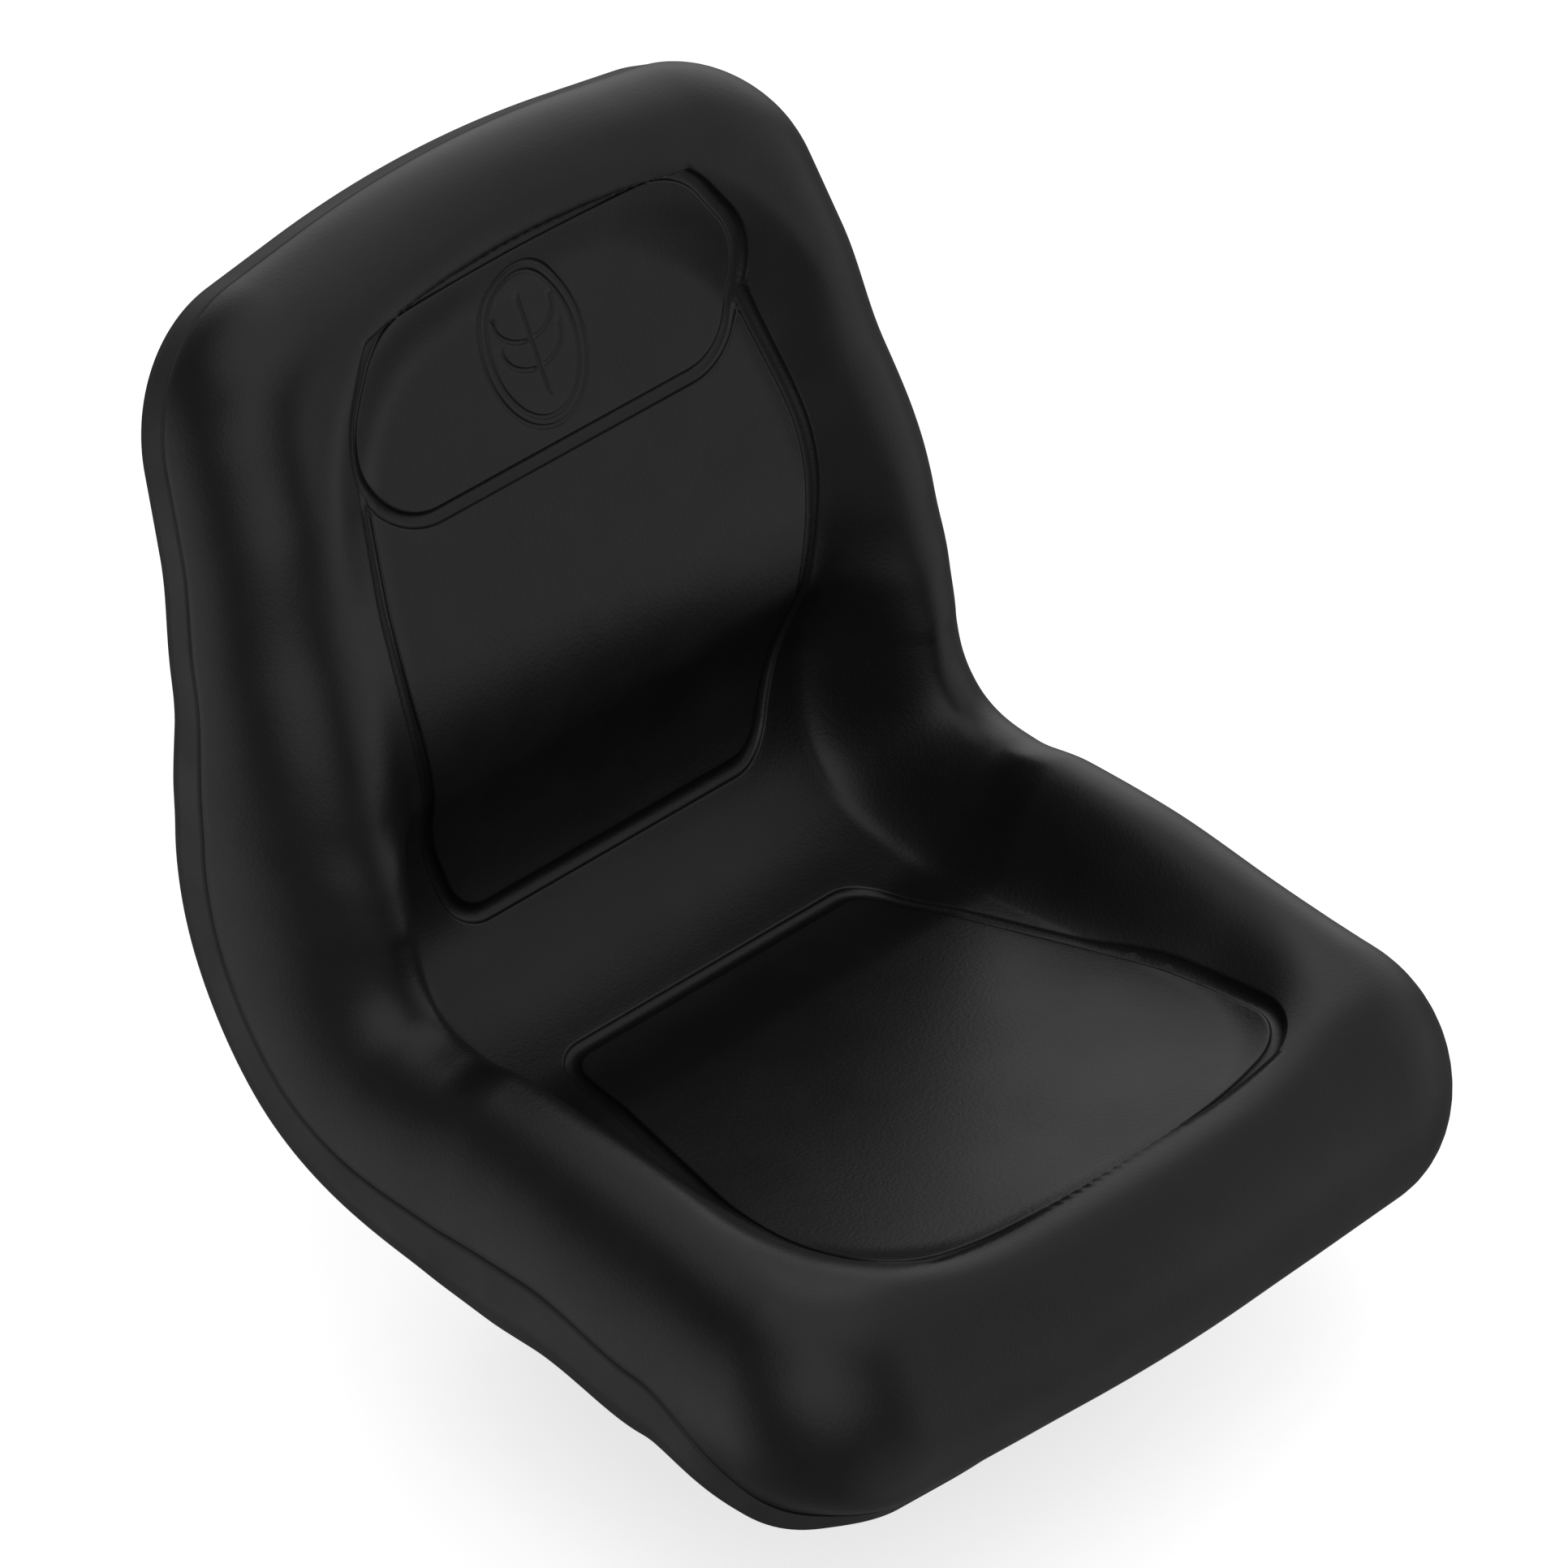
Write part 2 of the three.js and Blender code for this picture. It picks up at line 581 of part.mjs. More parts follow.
function addOperatorSwitch() {
  const half = SWITCH.width / 2;
  const depth = SWITCH.depth / 2;
  const body = join([
    box(-half, half, SWITCH.y - depth, SWITCH.y + depth, SWITCH.bottom, SWITCH.top),
    post(0, SWITCH.y, SWITCH.neckBottom, SWITCH.bottom + 1, SWITCH.neck),
  ]);
  const blade = (x, gap) => {
    const wide = TERMINAL.halfWidth + gap;
    const deep = TERMINAL.halfDepth + gap;
    return box(x - wide, x + wide, SWITCH.y - deep, SWITCH.y + deep, TERMINAL.bottom, TERMINAL.top + gap);
  };
  const terminalHoles = SIDES.map(([, sign]) => blade(sign * TERMINAL.x, GAP));
  const stemBore = post(0, SWITCH.y, SWITCH.top - 10, SWITCH.top + 5, PLUNGER.bore);
  place('switch_housing', cut(body, [...terminalHoles, stemBore]), MATERIALS.switchBody);
  SIDES.forEach(([side, sign]) => {
    place(`switch_terminal_${side}`, blade(sign * TERMINAL.x, 0), MATERIALS.brass);
  });
  const button = [
    [0, SWITCH.top - PLUNGER.entry], [PLUNGER.stem, SWITCH.top - PLUNGER.entry],
    [PLUNGER.stem, PLUNGER.bottom], [PLUNGER.radius, PLUNGER.bottom],
    [PLUNGER.radius, PLUNGER.top - 1], [PLUNGER.radius - 1, PLUNGER.top], [0, PLUNGER.top],
  ];
  place('switch_plunger', turned(button, 0, SWITCH.y), MATERIALS.nylon);
  const wire = coilSpring(SWITCH_SPRING, 8, 5, SWITCH.top + GAP, PLUNGER.bottom - GAP);
  place('switch_spring', wire.translate(0, SWITCH.y, 0), MATERIALS.springSteel);
}

// ---- rails --------------------------------------------------------------------------------------------
function lowerRailOutline(centre) {
  const half = LOWER_RAIL.width / 2;
  const z0 = RAIL_FLOOR_Z;
  const z1 = z0 + LOWER_RAIL.height;
  const t = RAIL_SHEET;
  return [
    [centre - half, z0], [centre + half, z0], [centre + half, z1], [centre + half - LOWER_RAIL.lip, z1],
    [centre + half - LOWER_RAIL.lip, z1 - t], [centre + half - t, z1 - t], [centre + half - t, z0 + t],
    [centre - half + t, z0 + t], [centre - half + t, z1 - t], [centre - half + LOWER_RAIL.lip, z1 - t],
    [centre - half + LOWER_RAIL.lip, z1], [centre - half, z1],
  ];
}

function upperRailOutline(centre, sign) {
  const foot = UPPER_RAIL.foot / 2;
  const web = UPPER_RAIL.web / 2;
  const left = centre - (sign > 0 ? UPPER_RAIL.inner : UPPER_RAIL.outer);
  const right = centre + (sign > 0 ? UPPER_RAIL.outer : UPPER_RAIL.inner);
  return [
    [centre - foot, RAIL_FOOT.bottom], [centre + foot, RAIL_FOOT.bottom],
    [centre + foot, RAIL_FOOT.top], [centre + web, RAIL_FOOT.top],
    [centre + web, FLANGE_UNDERSIDE], [right, FLANGE_UNDERSIDE], [right, FLANGE_TOP],
    [left, FLANGE_TOP], [left, FLANGE_UNDERSIDE], [centre - web, FLANGE_UNDERSIDE],
    [centre - web, RAIL_FOOT.top], [centre - foot, RAIL_FOOT.top],
  ];
}

// Nylon saddle clipped round the foot of the upper rail.
function glideOutline(centre) {
  const half = GLIDE.width / 2;
  const foot = UPPER_RAIL.foot / 2 + GAP;
  const web = UPPER_RAIL.web / 2 + GAP;
  const bottom = RAIL_FLOOR_Z + RAIL_SHEET + GAP;
  const top = RAIL_FLOOR_Z + LOWER_RAIL.height - RAIL_SHEET - GAP;
  const footBottom = RAIL_FOOT.bottom - GAP;
  const footTop = RAIL_FOOT.top + GAP;
  return [
    [centre - half, bottom], [centre + half, bottom], [centre + half, top], [centre + web, top],
    [centre + web, footTop], [centre + foot, footTop], [centre + foot, footBottom],
    [centre - foot, footBottom], [centre - foot, footTop], [centre - web, footTop],
    [centre - web, top], [centre - half, top],
  ];
}

function addRails() {
  SIDES.forEach(([side, sign]) => {
    const centre = sign * RAIL_X;
    let lower = railSection(lowerRailOutline(centre), LOWER_RAIL.front, LOWER_RAIL.rear);
    if (sign > 0) {
      const wall = centre + LOWER_RAIL.width / 2;
      const notches = Array.from({ length: NOTCH.count }, (_, i) => {
        const y = PAWL.y + (i - (NOTCH.count - 1) / 2) * NOTCH.pitch;
        const half = NOTCH.length / 2;
        return box(wall - RAIL_SHEET - 1, wall + 1, y - half, y + half, NOTCH.z, NOTCH.z + NOTCH.height);
      });
      lower = cut(lower, notches);
    }
    place(`lower_rail_${side}`, lower, MATERIALS.zincSteel);
    const upper = railSection(upperRailOutline(centre, sign), UPPER_RAIL.front, UPPER_RAIL.rear);
    const boltHoles = [BOLT.front, BOLT.rear].map((y) => {
      return post(sign * BOLT.x, y, FLANGE_UNDERSIDE - 2, FLANGE_TOP + 2, BOLT.shank + GAP);
    });
    place(`upper_rail_${side}`, cut(upper, boltHoles), MATERIALS.zincSteel);
    [['front', GLIDE.front], ['rear', GLIDE.rear]].forEach(([end, y]) => {
      const glide = railSection(glideOutline(centre), y - GLIDE.length / 2, y + GLIDE.length / 2);
      place(`glide_${side}_${end}`, glide, MATERIALS.nylon);
    });
  });
}

function addRailFasteners() {
  insertSpots.forEach(({ name, x, y }) => {
    const headTop = FLANGE_UNDERSIDE - GAP;
    const head = post(x, y, headTop - BOLT.headHeight, headTop, BOLT.head, 6);
    const shank = post(x, y, headTop - 1, INSERT.top - 2, BOLT.shank);
    place(`rail_bolt_${name}`, join([head, shank]), MATERIALS.zincSteel);
    const flangeBottom = PAN_FLOOR_Z + PAN_THICKNESS + GAP;
    const profile = [
      [INSERT.bore, PAN_FLOOR_Z + GAP], [INSERT.barrel, PAN_FLOOR_Z + GAP], [INSERT.barrel, flangeBottom],
      [INSERT.flange, flangeBottom], [INSERT.flange, flangeBottom + INSERT.flangeHeight],
      [INSERT.barrel, flangeBottom + INSERT.flangeHeight], [INSERT.barrel, INSERT.top],
      [INSERT.bore, INSERT.top], [INSERT.bore, PAN_FLOOR_Z + GAP],
    ];
    place(`pan_insert_${name}`, turned(profile, x, y), MATERIALS.brass);
  });
}

// ---- tilt hinge, arms and base ------------------------------------------------------------------------
// Side outline of a plate that wraps the hinge pin and runs on to the points in `tail`.
function earOutline(tail, startAngle, endAngle) {
  const steps = 10;
  const arc = Array.from({ length: steps + 1 }, (_, i) => {
    const angle = degToRad(lerp(startAngle, endAngle, i / steps));
    return [HINGE_Y + EAR_RADIUS * Math.cos(angle), HINGE_Z + EAR_RADIUS * Math.sin(angle)];
  });
  return [...arc, ...tail];
}

function drilledPlate(outline, x, radius) {
  const plate = sidePlate(outline, x - EAR_SHEET / 2, x + EAR_SHEET / 2);
  return cut(plate, [bar(x - EAR_SHEET, x + EAR_SHEET, HINGE_Y, HINGE_Z, radius)]);
}

function addBush(name, x) {
  const half = EAR_SHEET / 2;
  const flange = half + GAP + BUSH.flangeThickness;
  const profile = [
    [BUSH.bore, -flange], [BUSH.flange, -flange], [BUSH.flange, -half - GAP], [BUSH.outer, -half - GAP],
    [BUSH.outer, half + GAP], [BUSH.bore, half + GAP], [BUSH.bore, -flange],
  ];
  const inwardFlange = x > 0 ? 1 : -1;
  const bush = turned(profile, 0, 0).rotateY((inwardFlange * Math.PI) / 2).translate(x, HINGE_Y, HINGE_Z);
  place(name, bush, MATERIALS.nylon);
}

function addTiltFrame() {
  const { halfWidth, front, rear, bottom, thickness, corner } = TILT_PLATE;
  const top = bottom + thickness;
  const plate = slab(roundedRectangle(-halfWidth, halfWidth, front, rear, corner), bottom, top);
  const holes = SIDES.map(([, sign]) => post(sign * TILT_HOLE.x, 0, bottom - 1, top + 1, TILT_HOLE.radius));
  place('tilt_plate', cut(plate, holes), MATERIALS.blackSteel);
  SIDES.forEach(([side, sign]) => {
    const earTop = bottom - GAP;
    const toe = HINGE_Y + TILT_EAR.reach;
    const tail = [[toe, earTop - TILT_EAR.depth], [toe + TILT_EAR.toe, earTop], [HINGE_Y + 10, earTop]];
    const ear = drilledPlate(earOutline(tail, 100, 305), sign * TILT_EAR.x, BUSH.outer + GAP);
    place(`tilt_ear_${side}`, ear, MATERIALS.blackSteel);
    addBush(`tilt_bush_${side}`, sign * TILT_EAR.x);
  });
}

function addSuspensionArms() {
  SIDES.forEach(([side, sign]) => {
    const tail = [[HINGE_Y + 16, ARM_TOP - ARM_DEPTH], [ARM_REAR, ARM_TOP - ARM_DEPTH], [ARM_REAR, ARM_TOP]];
    const arm = drilledPlate(earOutline(tail, 90, 300), sign * ARM_X, BUSH.outer + GAP);
    place(`suspension_arm_${side}`, arm, MATERIALS.blackSteel);
    addBush(`arm_bush_${side}`, sign * ARM_X);
  });
  const reach = ARM_X - EAR_SHEET / 2 - GAP;
  const crossbar = box(-reach, reach, CROSSBAR.front, ARM_REAR, ARM_TOP - CROSSBAR.thickness, ARM_TOP);
  place('suspension_crossbar', crossbar, MATERIALS.blackSteel);
}

function addBase() {
  const { halfWidth, front, rear, thickness, corner } = BASE;
  const plate = slab(roundedRectangle(-halfWidth, halfWidth, front, rear, corner), 0, thickness);
  const slots = [STUD_SLOT.front, STUD_SLOT.rear].flatMap((y) => SIDES.map(([, sign]) => {
    const x = sign * STUD_SLOT.x;
    const { halfWidth: wide, halfLength: long } = STUD_SLOT;
    const outline = roundedRectangle(x - wide, x + wide, y - long, y + long, STUD_SLOT.corner);
    return slab(outline, -1, thickness + 1);
  }));
  const leadHole = post(0, 0, -1, thickness + 1, LEAD_HOLE_RADIUS);
  place('base_plate', cut(plate, [...slots, leadHole]), MATERIALS.blackSteel);
  SIDES.forEach(([side, sign]) => {
    const foot = thickness + GAP;
    const outline = earOutline([[HINGE_Y - EAR_RADIUS, foot], [HINGE_Y + 2 * EAR_RADIUS, foot]], 20, 180);
    const bracket = drilledPlate(outline, sign * BRACKET_X, HINGE_PIN_RADIUS + GAP);
    place(`pivot_bracket_${side}`, bracket, MATERIALS.blackSteel);
    const clipX = sign * (BRACKET_X + EAR_SHEET / 2 + GAP + CLIP.half);
    const bore = HINGE_PIN_RADIUS + CLIP.gap;
    const ring = [
      [bore, -CLIP.half], [CLIP.radius, -CLIP.half], [CLIP.radius, CLIP.half], [bore, CLIP.half],
      [bore, -CLIP.half],
    ];
    const clip = turned(ring, 0, 0).rotateY(Math.PI / 2).translate(clipX, HINGE_Y, HINGE_Z);
    place(`hinge_clip_${side}`, clip, MATERIALS.zincSteel);
  });
  const pinEnd = BRACKET_X + 5;
  place('hinge_pin', bar(-pinEnd, pinEnd, HINGE_Y, HINGE_Z, HINGE_PIN_RADIUS), MATERIALS.zincSteel);
}

// ---- springs and rubber -------------------------------------------------------------------------------
function coilSpring({ coil, wire, turns }, stepsPerTurn, sides, z0, z1) {
  const bottom = z0 + wire;
  const top = z1 - wire;
  const count = turns * stepsPerTurn;
  const points = Array.from({ length: count + 1 }, (_, i) => {
    const angle = (2 * Math.PI * i) / stepsPerTurn;
    return new THREE.Vector3(coil * Math.cos(angle), coil * Math.sin(angle), lerp(bottom, top, i / count));
  });
  const ring = new THREE.Shape(Array.from({ length: sides }, (_, i) => {
    const angle = (2 * Math.PI * i) / sides;
    return new THREE.Vector2(wire * Math.cos(angle), wire * Math.sin(angle));
  }));
  const extrudePath = new THREE.CatmullRomCurve3(points);
  return new THREE.ExtrudeGeometry(ring, { steps: count, extrudePath, bevelEnabled: false });
}

function addSprings() {
  const cupTop = BASE.thickness + GAP + SPRING_SEAT.thickness;
  const crossbarUnderside = ARM_TOP - CROSSBAR.thickness;
  const capBottom = crossbarUnderside - GAP - SPRING_SEAT.thickness;
  const { radius, spigot, spigotHeight } = SPRING_SEAT;
  SIDES.forEach(([side, sign]) => {
    const x = sign * SPRING.x;
    const cup = [
      [0, BASE.thickness + GAP], [radius, BASE.thickness + GAP], [radius, cupTop], [spigot, cupTop],
      [spigot - 1, cupTop + spigotHeight], [0, cupTop + spigotHeight],
    ];
    place(`spring_cup_${side}`, turned(cup, x, SPRING.y), MATERIALS.nylon);
    const cap = [
      [0, capBottom - spigotHeight], [spigot - 1, capBottom - spigotHeight], [spigot, capBottom],
      [radius, capBottom], [radius, crossbarUnderside - GAP], [0, crossbarUnderside - GAP],
    ];
    place(`spring_cap_${side}`, turned(cap, x, SPRING.y), MATERIALS.nylon);
    const wire = coilSpring(SPRING, 12, 6, cupTop + GAP, capBottom - GAP);
    place(`comfort_spring_${side}`, wire.translate(x, SPRING.y, 0), MATERIALS.springSteel);
    const pad = [
      [0, ARM_TOP + GAP], [REST_PAD_RADIUS, ARM_TOP + GAP],
      [REST_PAD_RADIUS - 1, TILT_PLATE.bottom - GAP], [0, TILT_PLATE.bottom - GAP],
    ];
    place(`rest_pad_${side}`, turned(pad, x, SPRING.y), MATERIALS.rubber);
    const bumper = [
      [0, BASE.thickness + GAP], [BUMPER.radius + 1.5, BASE.thickness + GAP],
      [BUMPER.radius, BUMPER.top - 2], [BUMPER.radius - 2, BUMPER.top], [0, BUMPER.top],
    ];
    place(`stop_bumper_${side}`, turned(bumper, sign * ARM_X, BUMPER.y), MATERIALS.rubber);
  });
}

// ---- adjuster -----------------------------------------------------------------------------------------
function leverCentreLine() {
  const corners = LEVER_CORNERS.map(([x, y]) => [x, y, LEVER_BEND]);
  return roundedLine(corners, false, 8).map((point) => [point.x, point.y]);
}

// Flat bar of even width along a plan line.
function flatBar(line, width, z0, z1) {
  const points = line.map(([x, y]) => new THREE.Vector2(x, y));
  const sideLine = (side) => points.map((point, i) => {
    const before = points[Math.max(0, i - 1)];
    const after = points[Math.min(points.length - 1, i + 1)];
    const along = after.clone().sub(before).normalize();
    return [point.x - along.y * side, point.y + along.x * side];
  });
  return slab([...sideLine(width / 2), ...sideLine(-width / 2).reverse()], z0, z1);
}

function addAdjuster() {
  const { x, y, width, thickness, bottom, hub, pin } = LEVER;
  const top = bottom + thickness;
  const line = leverCentreLine();
  const blade = join([flatBar(line, width, bottom, top), post(x, y, bottom, top, hub, 24)]);
  place('adjuster_lever', cut(blade, [post(x, y, bottom - 1, top + 1, pin + GAP)]), MATERIALS.blackSteel);

  const [tipX, tipY] = LEVER_CORNERS[LEVER_CORNERS.length - 1];
  const middle = bottom + thickness / 2;
  const half = GRIP.thickness / 2;
  const wide = GRIP.width / 2;
  const front = tipY - GRIP.overhang;
  const rear = front + GRIP.length;
  const section = roundedRectangle(tipX - wide, tipX + wide, middle - half, middle + half, GRIP.corner);
  const slot = width / 2 + GAP;
  const socket = box(tipX - slot, tipX + slot, tipY - GAP, rear + 1, bottom - GAP, top + GAP);
  place('lever_grip', cut(railSection(section, front, rear), [socket]), MATERIALS.gripVinyl);

  const railWall = RAIL_X + LOWER_RAIL.width / 2;
  const { halfTooth, halfLength, halfThickness, slack } = PAWL;
  const foot = NOTCH.z + slack;
  const toothEnd = railWall + slack;
  const toothTop = NOTCH.z + NOTCH.height - slack;
  const pawl = join([
    box(toothEnd, x + halfThickness, PAWL.y - halfTooth, PAWL.y + halfTooth, foot, toothTop),
    box(x - halfThickness, x + halfThickness, PAWL.y - halfLength, PAWL.y + halfLength, foot, bottom - GAP),
  ]);
  place('latch_pawl', pawl, MATERIALS.zincSteel);

  const tabTop = PAN_FLOOR_Z - GAP;
  const tabBottom = tabTop - LEVER_TAB.sheet;
  const { halfWidth, halfLength: tabHalf, corner } = LEVER_TAB;
  const tab = roundedRectangle(x - halfWidth, x + halfWidth, y - tabHalf, y + tabHalf, corner);
  place('lever_bracket', slab(tab, tabBottom, tabTop), MATERIALS.zincSteel);
  const pivot = [
    [0, bottom - LEVER.rivet], [pin + 3, bottom - LEVER.rivet], [pin + 3, bottom - GAP],
    [pin, bottom - GAP], [pin, tabBottom - GAP], [0, tabBottom - GAP],
  ];
  place('lever_pivot', turned(pivot, x, y), MATERIALS.zincSteel);
  const { inner, outer } = LEVER_SPRING;
  const springRing = [
    [inner, top + GAP], [outer, top + GAP], [outer, tabBottom - GAP], [inner, tabBottom - GAP],
    [inner, top + GAP],
  ];
  place('lever_spring', turned(springRing, x, y), MATERIALS.springSteel);
}

const cushion = cushionRows();
const pan = panRows();
addCover(cushion);
addFoam(cushion, pan);
addPan(pan);
addDrain();
addOperatorSwitch();
addRails();
addRailFasteners();
addTiltFrame();
addSuspensionArms();
addBase();
addSprings();
addAdjuster();

export default group;
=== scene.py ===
"""Looks of a high-back bucket seat for a ride-on mower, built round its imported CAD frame.

The moulded cushion skin, the foam under it and the pan are drawn out again as fine surfaces on the same bent
sheet as the CAD part. The mount under the seat keeps its CAD pieces and gets finished materials.
"""
import json
import math

import bpy
import numpy as np
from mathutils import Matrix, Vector
from mathutils.geometry import delaunay_2d_cdt


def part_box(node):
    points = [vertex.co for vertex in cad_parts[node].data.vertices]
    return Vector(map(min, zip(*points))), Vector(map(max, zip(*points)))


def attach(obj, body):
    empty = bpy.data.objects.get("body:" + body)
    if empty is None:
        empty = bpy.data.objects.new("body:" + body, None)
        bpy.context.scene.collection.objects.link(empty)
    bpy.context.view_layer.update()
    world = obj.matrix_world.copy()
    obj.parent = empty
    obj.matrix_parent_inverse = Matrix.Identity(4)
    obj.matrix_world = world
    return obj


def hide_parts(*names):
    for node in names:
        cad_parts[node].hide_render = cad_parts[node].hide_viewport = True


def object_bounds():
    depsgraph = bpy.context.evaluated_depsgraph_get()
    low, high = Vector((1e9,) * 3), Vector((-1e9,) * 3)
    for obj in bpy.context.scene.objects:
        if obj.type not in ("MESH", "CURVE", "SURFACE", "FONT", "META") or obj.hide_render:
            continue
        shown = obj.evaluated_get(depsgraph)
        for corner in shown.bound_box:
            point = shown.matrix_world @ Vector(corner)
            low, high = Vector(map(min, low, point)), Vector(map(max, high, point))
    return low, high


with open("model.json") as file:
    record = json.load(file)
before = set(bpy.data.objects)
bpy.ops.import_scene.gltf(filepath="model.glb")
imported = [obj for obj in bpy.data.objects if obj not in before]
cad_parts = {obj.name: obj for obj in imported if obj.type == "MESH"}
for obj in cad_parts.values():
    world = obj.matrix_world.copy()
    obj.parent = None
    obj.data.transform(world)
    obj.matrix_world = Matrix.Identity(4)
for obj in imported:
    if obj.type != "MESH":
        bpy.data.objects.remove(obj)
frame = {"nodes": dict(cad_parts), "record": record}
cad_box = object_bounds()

MM = 0.001

# ---- driving dimensions, in millimetres -----------------------------------------------------------------
# A place on the sheet is (x, s): s runs from the front edge, back along the seat, round the corner and up the
# backrest. A height is measured from the sheet towards the sitter.
SHEET_CORNERS = [(-285, 199, 0), (139, 162.5, 112), (113, 359, 190), (236, 611, 0)]  # y, z, corner radius
OUTLINE_CORNERS = [
    (0, 4, 1100), (246, 17, 74), (241, 250, 400), (236, 420, 500), (240, 530, 500), (205, 776, 84),
    (0, 804, 700),
]  # x, s, corner radius of the right half
MIDDLE_CORNERS = [
    (0, 64, 900), (146, 72, 80), (141, 250, 400), (136, 420, 400), (140, 520, 400), (117, 700, 80),
    (0, 720, 300),
]  # the flat middle that the bolsters rise around
ROLL = 48
FRONT_TUCK = math.radians(65)
TUCK_FROM, TUCK_TO = 40, 150
BOLSTER_SLOPE = 52
NORMAL_REACH = 24  # the sheet's direction is taken over this much of it, each way
CENTRE_HEIGHT = [(280, 0), (335, -12), (390, -25), (445, -14), (500, 0)]
BOLSTER_RISE = [
    (0, 6), (90, 20), (230, 50), (300, 58), (390, 64), (450, 56), (520, 23), (600, 13), (670, 22), (730, 22),
    (800, 14),
]
WIDEST_HEIGHT = [
    (0, -54), (60, -46), (150, -40), (230, -19), (300, -15), (390, -38), (450, -46), (530, -53), (610, -47),
    (670, -35), (800, -30),
]
PAN_LIP = [
    (0, 1), (40, 4), (90, 16), (140, 32), (191, 36), (250, 38), (310, 31), (400, 25), (520, 21), (800, 19),
]
PAN_DEPTH = [(0, -140), (300, -126), (345, -116), (390, -98), (450, -79), (510, -62)]
SEAM = 1.6
PAN_ROUND = 56
PAN_THICKNESS = 2.7
PAN_FLOOR_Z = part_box("seat_pan")[0].z / MM
PAN_LIP_REACH = 1.5
RIM_GAP = 0.4
FLOOR_STEEPEST = 0.35
INSERT_HOLE, SWITCH_HOLE, DRAIN_HOLE = 7.4, 10.0, 7.4
BEAD_HALF_WIDTH, BEAD_HEIGHT = 9.0, 3.0
BEADS = [[(x, 470), (x * 0.9, 690)] for x in (-92, -31, 31, 92)]
SKIN_THICKNESS = 3.4
HEM = 1.2
FOAM_INSET = 5.0
PAN_LINING_GAP = 2.2

# Channels pressed into the skin: corners as (x, s, corner radius) of the right half.
CHANNEL_HALF_WIDTH, CHANNEL_DEPTH = 4.2, 3.0
SEAT_PANEL = [(0, 40.5, 600), (146, 66, 44), (158, 150, 220), (106, 336, 20), (0, 336, 0)]
BACK_PANEL = [(0, 411, 0), (106, 411, 26), (128, 470, 250), (147, 580, 200), (131, 668, 0)]
HEAD_PANEL = [(0, 637, 0), (113, 637, 42), (141, 690, 44), (106, 747, 44), (0, 747.5, 0)]
MARK_CENTRE = (0, 692)
MARK_RINGS = ((33, 43), (28, 38))
MARK_HALF_WIDTH, MARK_DEPTH = 1.3, 0.8

# Rows of places across half a channel, as shares of its half width.
EDGE_OFFSETS = (0.0, 0.35, 0.62, 0.8, 0.9, 0.96, 1.01, 1.25)

COLUMNS = 620
FIELD_SPACING = 3.7
LINING_SPACING = 13.0
PAN_SPACING = 7.0


# ---- curves ---------------------------------------------------------------------------------------------
def height_line(knots):
    """A smooth line through (place, height) knots that never overshoots them."""
    at, value = np.array(knots, float).T
    chord = np.diff(value) / np.diff(at)
    slope = np.zeros(len(at))
    before, after = chord[:-1], chord[1:]
    agree = before * after > 0
    slope[1:-1][agree] = (2 * before * after)[agree] / (before + after)[agree]

    def height(place):
        p = np.clip(place, at[0], at[-1])
        i = np.clip(np.searchsorted(at, p) - 1, 0, len(at) - 2)
        span = at[i + 1] - at[i]
        t = (p - at[i]) / span
        share = (1 + 2 * t) * (1 - t) ** 2
        bends = t * (1 - t) ** 2 * slope[i] - t * t * (1 - t) * slope[i + 1]
        return share * value[i] + (1 - share) * value[i + 1] + bends * span

    return height


def rounded_line(corners, closed, step):
    """Points of a line whose corners (a, b, radius) are rounded by arcs."""
    points = np.array([c[:2] for c in corners], float)
    line = []
    for i, (a, b, radius) in enumerate(corners):
        if radius == 0 or (not closed and i in (0, len(corners) - 1)):
            line.append(points[i])
            continue
        to_before = points[i - 1] - points[i]
        to_after = points[(i + 1) % len(points)] - points[i]
        to_before /= np.linalg.norm(to_before)
        to_after /= np.linalg.norm(to_after)
        half = math.acos(np.clip(to_before @ to_after, -1, 1)) / 2
        bisector = (to_before + to_after) / np.linalg.norm(to_before + to_after)
        centre = points[i] + bisector * radius / math.sin(half)
        start = points[i] + to_before * radius / math.tan(half) - centre
        side = np.sign(to_after[0] * to_before[1] - to_after[1] * to_before[0])
        sweep = side * (math.pi - 2 * half)
        pieces = max(2, math.ceil(abs(sweep) * radius / step))
        angles = sweep * np.arange(pieces + 1) / pieces
        cos, sin = np.cos(angles), np.sin(angles)
        line.extend(np.c_[cos * start[0] - sin * start[1], sin * start[0] + cos * start[1]] + centre)
    return np.array(line)


class Ruler:
    """Points and directions at lengths along a line of points. Past its ends the line runs on straight."""

    def __init__(self, points):
        keep = np.r_[True, np.linalg.norm(np.diff(points, axis=0), axis=1) > 0.01]
        points = points[keep]
        lengths = np.r_[0, np.cumsum(np.linalg.norm(np.diff(points, axis=0), axis=1))]
        self.total = lengths[-1]
        reach = 400
        first = points[0] - (points[1] - points[0]) * reach / lengths[1]
        last = points[-1] + (points[-1] - points[-2]) * reach / (lengths[-1] - lengths[-2])
        self.points = np.vstack([first, points, last])
        self.lengths = np.r_[-reach, lengths, lengths[-1] + reach]

    def at(self, length):
        return np.stack([np.interp(length, self.lengths, self.points[:, k]) for k in (0, 1)], -1)

    def along(self, length, reach):
        step = self.at(np.asarray(length) + reach) - self.at(np.asarray(length) - reach)
        return step / np.linalg.norm(step, axis=-1, keepdims=True)


def mirrored(corners, closed=True):
    """Both halves of a line given by its right half, whose first and last corners lie on the middle."""
    left = [(-x, s, radius) for x, s, radius in reversed(corners) if x > 0]
    return list(corners) + left if closed else left + list(corners)


